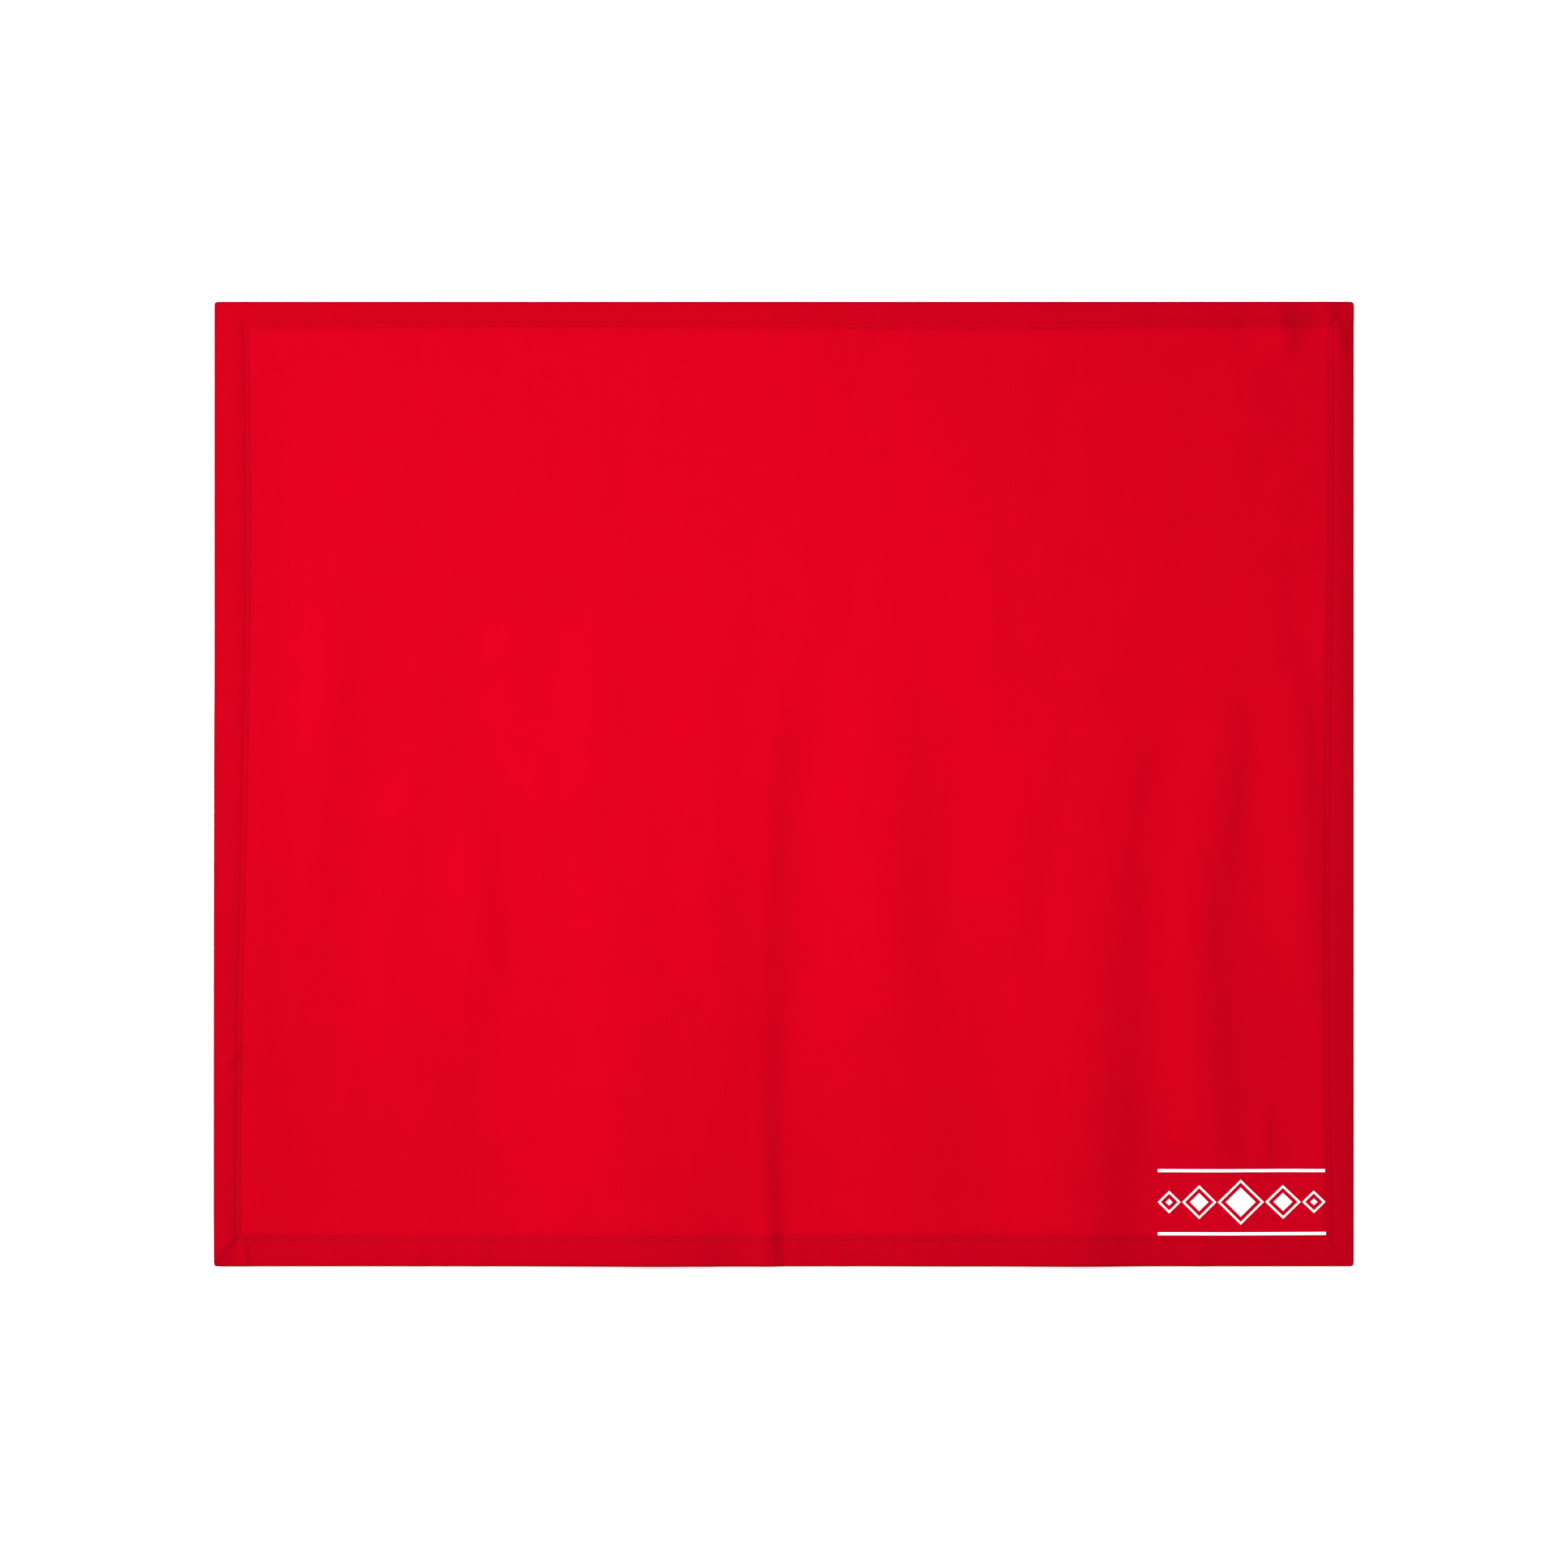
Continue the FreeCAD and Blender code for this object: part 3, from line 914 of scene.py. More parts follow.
@dataclass(frozen=True)
class Fleece:
    """Cotton and polyester sweatshirt fleece, knitted as jersey on the face and brushed on the back.

    The yarn is matt, so there is almost no gloss, only the soft light of loose fibre ends. The face shows
    fine upright wales, and slow streaks along them where the yarn varies. The back is brushed to a short
    nap. Jersey wales of about 0.8 mm are drawn at 2.2 mm, so that they can be seen.

    streak is the streaks' width and length. weights says how much the knit, the nap, the streaks and the
    mottle each count in how light the cloth is. layer_shade is the strength of a painted shade where the hem
    lies under the cloth, for the white floor's light that a single layer lets through and a double one stops,
    and more at the turned edge, for the shade there.
    """

    name: str
    colour: str
    deep_colour: str
    knit_depth: float
    nap_size: float
    nap_depth: float
    sheen: float
    layer_shade: float = 0.0
    wale: float = 2.2
    course: float = 1.7
    streak: tuple[float, float] = (11.0, 170.0)
    mottle: float = 45.0
    weights: tuple[float, ...] = (0.30, 0.22, 0.30, 0.38)

    def material(self) -> bpy.types.Material:
        """Builds the cloth's material, on the UV map that holds the flat place in metres.

        Returns:
            The material.
        """
        material, tree, shader = new_material(
            self.name, Roughness=0.95, Specular_IOR_Level=0.01, Sheen_Weight=self.sheen, Sheen_Roughness=0.6,
            Sheen_Tint=linear("#FF0A1E"),
        )
        place = add_node(tree, "ShaderNodeUVMap", uv_map="cloth").outputs["UV"]
        knit = self._knit(tree, place)
        nap = add_node(
            tree, "ShaderNodeTexNoise",
            {"Vector": place, "Scale": 1 / (self.nap_size * MM), "Detail": 3.0, "Roughness": 0.65},
        ).outputs["Fac"]
        width, length = metres(self.streak)
        along_wales = add_node(
            tree, "ShaderNodeMapping", {"Vector": place, "Scale": (1 / width, 1 / length, 1.0)}
        ).outputs["Vector"]
        streaks = add_node(
            tree, "ShaderNodeTexNoise", {"Vector": along_wales, "Scale": 1.0, "Detail": 2.0}
        ).outputs["Fac"]
        mottle = add_node(
            tree, "ShaderNodeTexNoise", {"Vector": place, "Scale": 1 / (self.mottle * MM), "Detail": 3.0}
        ).outputs["Fac"]
        # The knit's share darkens the colour in its grooves, which is painted shade. The nap, the streaks and
        # the mottle vary the tone.
        light = 0.0
        for part, weight in zip((knit, nap, streaks, mottle), self.weights):
            light = add_node(
                tree, "ShaderNodeMath", {0: part, 1: weight, 2: light}, operation="MULTIPLY_ADD"
            ).outputs[0]
        mix = {MIX_SHARE: light, MIX_FROM: linear(self.deep_colour), MIX_TO: linear(self.colour)}
        colour = add_node(tree, "ShaderNodeMix", mix, data_type="RGBA").outputs[MIX_RESULT]
        # Painted shade: darker where the hem lies under the cloth and at the turned edge.
        if self.layer_shade:
            colour = self._shade_layers(tree, colour)
        weave = add_node(
            tree, "ShaderNodeBump", {"Height": knit, "Distance": self.knit_depth * MM, "Strength": 0.8}
        ).outputs["Normal"]
        fuzz = add_node(
            tree, "ShaderNodeBump",
            {"Height": nap, "Distance": self.nap_depth * MM, "Strength": 0.7, "Normal": weave},
        ).outputs["Normal"]
        tree.links.new(colour, shader.inputs["Base Color"])
        tree.links.new(fuzz, shader.inputs["Normal"])
        return material

    def _knit(self, tree: bpy.types.NodeTree, place: bpy.types.NodeSocket) -> bpy.types.NodeSocket:
        """The knit's height: columns of V-shaped stitches with a groove between columns.

        Args:
            tree: the material's node tree.
            place: the place on the flat cloth, in metres.

        Returns:
            The height, 0 to 1.
        """
        parts = add_node(tree, "ShaderNodeSeparateXYZ", {0: place}).outputs
        # The name of each sum, its operation, and what it takes: sockets, numbers and sums above it.
        sums = (
            ("wales", "MULTIPLY", parts["X"], 1 / (self.wale * MM)),
            ("in_wale", "FRACT", "wales"),
            ("side_to_side", "MULTIPLY_ADD", "in_wale", 2.0, -1.0),
            ("from_middle", "ABSOLUTE", "side_to_side"),
            ("courses", "MULTIPLY", parts["Y"], 1 / (self.course * MM)),
            ("slanted", "MULTIPLY_ADD", "from_middle", 0.55, "courses"),
            ("turns", "MULTIPLY", "slanted", 2 * math.pi),
            ("legs", "SINE", "turns"),
            ("rounded", "MULTIPLY_ADD", "legs", 0.28, 0.65),
            ("groove", "POWER", "from_middle", 4.0),
            ("height", "MULTIPLY_ADD", "groove", -0.35, "rounded"),
        )
        results = {}
        for name, operation, *takes in sums:
            inputs = {index: results.get(value, value) for index, value in enumerate(takes)}
            results[name] = add_node(tree, "ShaderNodeMath", inputs, operation=operation).outputs[0]
        return results["height"]

    def _shade_layers(self, tree: bpy.types.NodeTree, colour: bpy.types.NodeSocket) -> bpy.types.NodeSocket:
        """Paints shade into the cloth where it lies on more cloth, which stops the light of the white floor
        under it, and at its turned edge.

        Args:
            tree: the material's node tree.
            colour: the colour of a single layer.

        Returns:
            The colour, darkened by the painted shade in the sheet's point attribute: 1 over the hem, up to 3
            at the turned edge, times layer_shade.
        """
        painted_shade = add_node(tree, "ShaderNodeAttribute", attribute_name="painted_shade").outputs["Fac"]
        share = add_node(
            tree, "ShaderNodeMath", {0: painted_shade, 1: self.layer_shade}, operation="MULTIPLY"
        ).outputs[0]
        mix = {MIX_SHARE: share, MIX_FROM: colour, MIX_TO: (0.0, 0.0, 0.0, 1.0)}
        return add_node(tree, "ShaderNodeMix", mix, data_type="RGBA").outputs[MIX_RESULT]


@dataclass(frozen=True)
class SpunThread:
    """Spun polyester sewing thread: two plies twisted together, matt, a fine slanted line where they meet."""

    name: str
    colour: str
    deep_colour: str
    twist: float = 1.1
    relief: float = 0.06

    def material(self) -> bpy.types.Material:
        """Builds the thread's material.

        Returns:
            The material.
        """
        material, tree, shader = new_material(self.name, Roughness=0.85, Specular_IOR_Level=0.05)
        place = add_node(tree, "ShaderNodeTexCoord").outputs["Object"]
        plies = add_node(
            tree, "ShaderNodeTexWave",
            {"Vector": place, "Scale": 1 / (self.twist * MM) / math.tau, "Distortion": 0.6, "Detail": 1.0},
            wave_type="BANDS", bands_direction="DIAGONAL",
        ).outputs["Fac"]
        tint_and_raise(tree, shader, plies, (self.deep_colour, self.colour), self.relief, 0.6)
        return material


@dataclass(frozen=True)
class ScreenInk:
    """White plastisol ink, screen-printed and cured: matt, opaque, faintly pebbled by the knit under it."""

    name: str
    colour: str
    deep_colour: str
    pebble: float = 1.6
    relief: float = 0.08

    def material(self) -> bpy.types.Material:
        """Builds the ink's material.

        Returns:
            The material.
        """
        material, tree, shader = new_material(self.name, Roughness=0.55, Specular_IOR_Level=0.3)
        place = add_node(tree, "ShaderNodeUVMap", uv_map="cloth").outputs["UV"]
        pebbles = add_node(
            tree, "ShaderNodeTexNoise", {"Vector": place, "Scale": 1 / (self.pebble * MM), "Detail": 2.0}
        ).outputs["Fac"]
        tint_and_raise(tree, shader, pebbles, (self.deep_colour, self.colour), self.relief, 0.5)
        return material


@dataclass(frozen=True)
class SatinRibbon:
    """Woven polyester satin ribbon: long floats across it give a soft sheen and fine cross lines."""

    name: str
    colour: str
    deep_colour: str
    pick: float = 0.9
    relief: float = 0.05

    def material(self) -> bpy.types.Material:
        """Builds the ribbon's material.

        Returns:
            The material.
        """
        material, tree, shader = new_material(self.name, Roughness=0.38, Anisotropic=0.5)
        place = add_node(tree, "ShaderNodeUVMap", uv_map="cloth").outputs["UV"]
        picks = add_node(
            tree, "ShaderNodeTexWave",
            {"Vector": place, "Scale": 1 / (self.pick * MM) / math.tau, "Distortion": 0.4, "Detail": 1.0},
            wave_type="BANDS", bands_direction="Y",
        ).outputs["Fac"]
        tint_and_raise(tree, shader, picks, (self.deep_colour, self.colour), self.relief, 0.5)
        return material


@dataclass(frozen=True)
class LitAcrylic:
    """White acrylic lit from below, cast and flat: a light table, which washes out the shadows on it."""

    name: str
    colour: str
    glow: float

    def material(self) -> bpy.types.Material:
        """Builds the table top's material.

        Returns:
            The material.
        """
        material, _, _ = new_material(
            self.name, Base_Color=linear(self.colour), Emission_Color=(1.0, 1.0, 1.0, 1.0),
            Emission_Strength=self.glow, Roughness=1.0, Specular_IOR_Level=0.0,
        )
        return material


@dataclass(frozen=True)
class Finishes:
    """Every finish on the blanket, built once."""

    face: bpy.types.Material
    back: bpy.types.Material
    thread: bpy.types.Material
    ink: bpy.types.Material
    ribbon: bpy.types.Material

    @classmethod
    def build(cls) -> "Finishes":
        """Builds the materials.

        Returns:
            The finishes.
        """
        return cls(
            face=Fleece(
                "jersey_face_fleece", "#B00017", "#A30012", knit_depth=0.18, nap_size=3.2, nap_depth=0.3,
                sheen=0.05, layer_shade=0.12,
            ).material(),
            back=Fleece(
                "brushed_back_fleece", "#CC0A28", "#A6001B", knit_depth=0.05, nap_size=5.5, nap_depth=1.4,
                sheen=0.35,
            ).material(),
            thread=SpunThread("spun_polyester_thread", "#AE0017", "#8C0011").material(),
            ink=ScreenInk("plastisol_screen_ink", "#FBFBFA", "#EDECEA").material(),
            ribbon=SatinRibbon("satin_ribbon", "#F2F1EC", "#D9D8D2").material(),
        )


# ---------------------------------------------------------------------------------------------------------
# The pieces
# ---------------------------------------------------------------------------------------------------------


@dataclass
class ClothPiece:
    """A piece of the blanket, with the cloth that it belongs to and the finishes to choose from."""

    drape: Drape
    finishes: Finishes

    def declare(self, piece: bpy.types.Object, nodes: Sequence[str], slot: str, body: str | None) -> None:
        """Hides the frame's nodes that a piece replaces, and hangs it on the body that carries it.

        Args:
            piece: the piece.
            nodes: the frame's nodes that it replaces.
            slot: its material slot. Not used.
            body: the body that it rides on, or None where it runs over the half fold.
        """
        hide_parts(*nodes)
        if body:
            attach(piece, body)
        else:
            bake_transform(piece)

    def lay_down(
        self, piece: bpy.types.Object, skin: Skin, finish: bpy.types.Material,
        nodes: Sequence[str], slot: str, body: str | None,
    ) -> bpy.types.Object:
        """Args:
            piece: the piece, at its place on the flat blanket.
            skin: which side of the cloth it lies on.
            finish: its material.
            nodes: the frame's nodes that it replaces.
            slot: its material slot.
            body: the body that it rides on, or None where it runs over the half fold.

        Returns:
            The piece.
        """
        self.drape.lay(piece, skin)
        dress(piece, finish)
        self.declare(piece, nodes, slot, body)
        return piece


@dataclass
class SidePiece(ClothPiece):
    """A piece that runs along one side. It is modelled along the bottom side and turned to its own."""

    side: Side

    def lay_along(
        self, piece: bpy.types.Object, skin: Skin, finish: bpy.types.Material, what: str, slot: str
    ) -> bpy.types.Object:
        """Turns a piece to its side and lays it there.

        Args:
            piece: the piece, modelled along the bottom side.
            skin: which side of the cloth it lies on.
            finish: its material.
            what: the kind of node that it replaces, such as "hem".
            slot: its material slot.

        Returns:
            The piece.
        """
        turn_to(piece, self.side)
        return self.lay_down(piece, skin, finish, self.side.nodes(what), slot, self.side.body)


@dataclass
class FaceCloth(ClothPiece):
    """The fleece itself, one sheet from edge to edge over both halves of the frame.

    layer_ramp says where the painted shade of the hem under the sheet starts to fade, counted from the hem's
    cut edge, and over what length. rim_shade and rim_spread are the extra painted shade of the turned edge.
    """

    top_radius: float = 1.3
    under_radius: float = 1.8
    layer_ramp: tuple[float, float] = (-7.0, 15.0)
    rim_shade: float = 2.0
    rim_spread: float = 2.6

    def build(self) -> bpy.types.Object:
        """Shapes the sheet from a grid, thickens it and turns its rim down to where the hems start.

        Returns:
            The sheet.
        """
        layout, drape = self.drape.layout, self.drape
        sheet = add_primitive(
            "fleece_sheet", bpy.ops.mesh.primitive_grid_add,
            x_subdivisions=len(drape.across) - 1, y_subdivisions=len(drape.up) - 1, size=2,
        )
        set_points(sheet.data, drape.points.reshape(-1, 3))
        modify(
            sheet, "SOLIDIFY", thickness=layout.cloth * MM, offset=0.0,
            material_offset=1, material_offset_rim=0,
        )
        x, y = np.meshgrid(drape.across, drape.up)
        edge = drape.nearest_edge(x, y).ravel()
        # Painted shade for the face's colour: 1 where the hem lies under the sheet, more at the turned edge,
        # none on the back.
        rim = self.rim_shade * bell(edge, self.rim_spread)
        painted_shade = 1 - ramp(edge - layout.hem, *self.layer_ramp) + rim
        shades = (painted_shade, np.zeros_like(painted_shade))
        # The thickened mesh holds its two skins one after the other, and the upper one is the face.
        first, second = points_of(sheet.data)[:, 2].reshape(2, -1)
        order = 1 if first.mean() > second.mean() else -1
        set_points(sheet.data, np.vstack(self._skins(edge)[::order]))
        flat = np.column_stack((x.ravel(), y.ravel()))
        keep_flat_place(sheet.data, np.vstack((flat, flat)))
        attribute = sheet.data.attributes.new("painted_shade", "FLOAT", "POINT")
        attribute.data.foreach_set("value", np.concatenate(shades[::order]).astype(np.float32))
        dress(sheet, self.finishes.face, self.finishes.back)
        self._turn_skin(sheet, np.tile(edge, 2))
        self.declare(sheet, ("fleece_panel_lower", "fleece_panel_upper"), "fleece", None)
        return sheet

    def _skins(self, edge: np.ndarray) -> tuple[np.ndarray, np.ndarray]:
        """Where the sheet's two skins lie.

        Args:
            edge: how far each grid point is from the nearest edge.

        Returns:
            The face's points and the back's.
        """
        drape, cloth = self.drape, self.drape.layout.cloth
        lift = drape.relief.ravel() - self._rounding(edge, self.top_radius)
        drop = np.where(edge < drape.turn_depth, cloth - self._rounding(edge, self.under_radius), 0)
        middle, facing = drape.points.reshape(-1, 3), drape.facing.reshape(-1, 3)
        return middle + facing * (cloth / 2 + lift)[:, None], middle - facing * (cloth / 2 + drop)[:, None]

    def _turn_skin(self, sheet: bpy.types.Object, edge: np.ndarray) -> None:
        """Gives the turned rim's underside the face's finish, because the cloth's face goes on round it.

        Args:
            sheet: the sheet.
            edge: how far each of its points is from the nearest edge.
        """
        for face in sheet.data.polygons:
            if max(edge[index] for index in face.vertices) < self.drape.turn_depth:
                face.material_index = 0

    def _rounding(self, edge: np.ndarray, radius: float) -> np.ndarray:
        """How far the rim falls away from its flat, as the cloth turns over its edge at this radius."""
        inside = np.clip(radius - edge, 0, radius)
        return radius - np.sqrt(radius**2 - inside**2)


@dataclass
class TurnedHem(SidePiece):
    """One side's hem: the cloth turned to the back, mitred at both ends, its cut edge inwards.

    The strip has a shallow bed on its underside for the looper thread and the mitre's stitches, so that they
    don't lift it. The bed starts bed_lead before the outer row and ends cut_margin before the cut edge.
    cut_waves holds the weight, the length and the shift of the waves of the cut edge.
    """

    pitch: float = 7.5
    mitre_gap: float = 0.8
    mitre_bed: float = 1.9
    mitre_slope: float = 0.9
    thread_bed: float = 0.5
    bed_start: float = 3.6
    bed_lead: float = 3.0
    bed_slope: float = 2.0
    cut_margin: float = 0.2
    cut_slope: float = 1.2
    top_gap: float = 0.02
    cut_wave: float = 0.35
    cut_waves: tuple[tuple[float, ...], ...] = ((1.0, 7.3, 0.0), (0.6, 2.9, 1.0))

    def build(self) -> bpy.types.Object:
        """Shapes the strip along the bottom side, turns it to its own side and lays it.

        Returns:
            The hem.
        """
        layout = self.drape.layout
        half_along, half_across = layout.spans(self.side)
        ends = half_along - self.mitre_gap / math.sqrt(2)
        offsets, shares = self._offsets(), self._shares(half_along)
        hem = add_primitive(
            f"hem_{self.side.word}", bpy.ops.mesh.primitive_grid_add,
            x_subdivisions=len(shares) - 1, y_subdivisions=len(offsets) - 1, size=2,
        )
        share, offset = np.meshgrid(shares, offsets)
        along = share * (ends - offset)
        waves = sum(weight * np.sin(along / length + shift) for weight, length, shift in self.cut_waves)
        edge = offset + self.cut_wave * waves * (offset == offsets[-1])
        middle = np.full_like(along, layout.cloth / 2)
        set_points(hem.data, np.stack((along, edge - half_across, middle), axis=-1).reshape(-1, 3))
        modify(hem, "SOLIDIFY", thickness=layout.cloth * MM, offset=0.0)
        points = points_of(hem.data)
        under = points[:, 2] < layout.cloth / 2
        bed = self._bed(points[:, 1] + half_across, ends - np.abs(points[:, 0]))
        points[:, 2] += np.where(under, self.thread_bed * bed, -self.top_gap)
        set_points(hem.data, points)
        return self.lay_along(hem, Skin.BACK, self.finishes.face, "hem", "fleece")

    def _bed(self, edge: np.ndarray, end: np.ndarray) -> np.ndarray:
        """How deep the threads' bed is, as a share of its depth.

        Args:
            edge: places across the strip, from its outer edge.
            end: places along the strip, from its longest end.

        Returns:
            The share at each place.
        """
        layout = self.drape.layout
        beside_mitre = 1 - ramp(end - edge, self.mitre_bed, self.mitre_slope)
        under_rows = ramp(edge, layout.outer_row - self.bed_lead, self.bed_slope)
        past_rim = ramp(edge, self.bed_start, self.bed_slope)
        before_cut = ramp(layout.hem - edge, self.cut_margin, self.cut_slope)
        return np.maximum(under_rows, beside_mitre) * past_rim * before_cut

    def _shares(self, half_along: float) -> np.ndarray:
        """Grid lines along the strip, -1 to 1, close together at the mitres for the bed of their stitches.

        Args:
            half_along: half the side's length.

        Returns:
            Their places, lowest first.
        """
        ends = 1 - np.array([0.0, 1.0, self.mitre_bed, self.mitre_bed + self.mitre_slope]) / half_along
        count = math.ceil(2 * half_along / self.pitch)
        inside = np.linspace(-ends[-1], ends[-1], count + 1)[1:-1]
        return np.concatenate((-ends, inside, ends[::-1]))

    def _offsets(self) -> np.ndarray:
        """Grid lines across the strip, from the sheet's turned rim to the cut edge.

        Returns:
            Their places, from the outer edge inwards.
        """
        layout = self.drape.layout
        rim = [self.drape.turn_depth, self.bed_start, 6.0, 13.0, 20.0]
        bed = [layout.outer_row - self.bed_lead + share * self.bed_slope for share in (0, 0.5, 1)]
        cut = [layout.hem - self.cut_margin - share * self.cut_slope for share in (1, 0.5, 0)]
        return np.array([*rim, *bed, layout.seam, *cut, layout.hem])


@dataclass
class NeedleStitches(SidePiece):
    """The two rows of needle thread on the face along one side, stitch by stitch.

    steps and swell shape one stitch, which arches from the hole where the thread comes up to the hole where
    it goes down. margin is how far into its pitch it starts.
    """

    pitch: float = 3.2
    margin: float = 0.15
    thread: float = 0.62
    level: float = 3.95
    sink: float = 0.35
    steps: tuple[tuple[float, float, float], ...] = (
        (0.35, 0.0, 0.3), (0.55, 0.0, 0.3), (0.9, 0.0, 0.05), (0.55, 0.0, -0.3), (0.35, 0.0, -0.3),
    )
    swell: tuple[float, ...] = (1.7, 1.25, 1.0, 0.8, 0.6)

    def build(self) -> bpy.types.Object:
        """Models one stitch for each row, repeats it along the side and lays both rows.

        Returns:
            Both rows, as one piece.
        """
        layout = self.drape.layout
        half_along, half_across = layout.spans(self.side)
        rows = []
        for row in (layout.outer_row, layout.inner_row):
            count = int(2 * (half_along - row) / self.pitch)
            start = (self.margin - count * self.pitch / 2, row - half_across, self.level - self.sink)
            stitch = extruded_thread("stitch", start, self.thread / 2, self.steps, self.swell)
            repeat_along(stitch, count, self.pitch)
            rows.append(stitch)
        stitches = join(f"needle_stitches_{self.side.word}", rows)
        return self.lay_along(
            stitches, Skin.FACE, self.finishes.thread, "needle_threads", "sewing_thread"
        )


@dataclass
class LooperThread(SidePiece):
    """The looper thread on the back along one side: it loops round both needle rows and crosses between them.

    loop holds the points of one stitch: along it, in pitches, across it, from row to row, and its lift.
    """

    pitch: float = 3.2
    thread: float = 0.5
    level: float = 0.27
    loop: tuple[tuple[float, float, float], ...] = (
        (0.0, -1.0, 0.0), (0.85, -1.0, 0.12), (0.25, 1.0, -0.1), (1.1, 1.0, 0.12),
    )

    def build(self) -> bpy.types.Object:
        """Runs the thread along the bottom side, makes it a mesh, turns it to its side and lays it.

        Returns:
            The thread.
        """
        curve = bpy.data.curves.new(f"looper_{self.side.word}", "CURVE")
        curve.dimensions = "3D"
        curve.bevel_depth = self.thread / 2 * MM
        curve.bevel_resolution = 0
        curve.use_fill_caps = True
        route = self._route()
        spline = curve.splines.new("NURBS")
        spline.points.add(len(route) - 1)
        for point, place in zip(spline.points, route):
            point.co = (*metres(place), 1.0)
        spline.order_u = 3
        spline.use_endpoint_u = True
        spline.resolution_u = 2
        thread = bpy.data.objects.new(curve.name, curve)
        bpy.context.scene.collection.objects.link(thread)
        select_only(thread)
        bpy.ops.object.convert(target="MESH")
        thread = newest(f"looper_thread_{self.side.word}_run")
        return self.lay_along(thread, Skin.BACK, self.finishes.thread, "looper_thread", "sewing_thread")

    def _route(self) -> list[tuple[float, float, float]]:
        """The thread's points along the bottom side.

        Returns:
            Each point's place.
        """
        layout = self.drape.layout
        half_along, half_across = layout.spans(self.side)
        span = (layout.inner_row - layout.outer_row) / 2
        count = int(2 * (half_along - layout.inner_row) / self.pitch)
        return [
            (
                (number + step - count / 2) * self.pitch,
                layout.seam - half_across + side_step * span,
                self.level + lift,
            )
            for number in range(count)
            for step, side_step, lift in self.loop
        ]


@dataclass
class MitreSeam(ClothPiece):
    """The stitched line on the back where two hems meet at a corner: a soft ridge with stitches over it.

    level and hand say which corner. start is how far from the corner the seam starts, and end_gap how far
    it ends from the inner corner of the hems. The stitches keep margin and last_margin from the seam's
    ends. steps and swell shape one stitch, which lies across the ridge.
    """

    level: Side
    hand: Side
    start: float = 5.0
    end_gap: float = 0.6
    ridge_width: float = 0.8
    ridge_base: float = 0.45
    ridge_gap: float = 0.05
    ridge_bevel: float = 0.3
    ridge_cuts: int = 12
    pitch: float = 3.0
    margin: float = 1.5
    last_margin: float = 0.5
    stitch_length: float = 2.4
    thread: float = 0.5
    stitch_level: float = 0.25
    steps: tuple[tuple[float, float, float], ...] = (
        (0.18, 0.4, -0.02), (0.25, 0.8, -0.02), (0.25, 0.8, 0.02), (0.18, 0.4, 0.02),
    )
    swell: tuple[float, ...] = (1.7, 1.15, 0.9, 0.6)

    def build(self) -> bpy.types.Object:
        """Models the seam along X, turns it to the corner's diagonal and lays it.

        Returns:
            The seam.
        """
        length = self.drape.layout.hem * math.sqrt(2) - self.end_gap - self.start
        stitch = extruded_thread(
            "mitre_stitch", (self.start + self.margin, -self.stitch_length / 2, self.stitch_level),
            self.thread / 2, self.steps, self.swell,
        )
        repeat_along(stitch, int((length - self.margin - self.last_margin) / self.pitch), self.pitch)
        corner = f"{self.level.word}_{self.hand.word}"
        seam = join(f"mitre_stitching_{corner}", (stitch, self._ridge(length)))
        self._turn_to_corner(seam)
        return self.lay_down(
            seam, Skin.BACK, self.finishes.thread, (f"mitre_seam_{corner}",), "sewing_thread", self.level.body
        )

    def _turn_to_corner(self, seam: bpy.types.Object) -> None:
        """Puts a seam that was modelled along X on the diagonal of its corner.

        Args:
            seam: the seam, which runs inwards from the corner.
        """
        sign_x = 1 if self.hand is Side.RIGHT else -1
        sign_y = 1 if self.level is Side.TOP else -1
        points = points_of(seam.data)
        run, aside = points[:, 0] / math.sqrt(2), points[:, 1] / math.sqrt(2)
        x = sign_x * (self.drape.layout.half_width - run - sign_x * sign_y * aside)
        y = sign_y * (self.drape.layout.half_height - run + sign_x * sign_y * aside)
        set_points(seam.data, np.column_stack((x, y, points[:, 2])))
        face_outwards(seam)

    def _ridge(self, length: float) -> bpy.types.Object:
        """The edges of both hems, drawn together between the stitches.

        Args:
            length: the seam's length.

        Returns:
            The ridge along X.
        """
        height = self.drape.layout.cloth - self.ridge_base - self.ridge_gap
        ridge = add_primitive(
            "mitre_ridge", bpy.ops.mesh.primitive_cube_add, (length, self.ridge_width, height), size=MM,
            location=metres((self.start + length / 2, 0, self.ridge_base + height / 2)),
        )
        with editing(ridge) as shape:
            for edge in shape.edges:
                edge.select_set(abs((edge.verts[0].co - edge.verts[1].co).x) > length * MM / 2)
            bmesh.update_edit_mesh(ridge.data)
            bpy.ops.mesh.subdivide(number_cuts=self.ridge_cuts)
            bpy.ops.mesh.select_all(action="DESELECT")
            for edge in shape.edges:
                middle = (edge.verts[0].co + edge.verts[1].co) / 2
                lengthwise = abs((edge.verts[0].co - edge.verts[1].co).x) > MM / 2
                edge.select_set(lengthwise and middle.z < (self.ridge_base + height / 2) * MM)
            bmesh.update_edit_mesh(ridge.data)
            bpy.ops.mesh.bevel(offset=self.ridge_bevel * MM, segments=2)
        return ridge


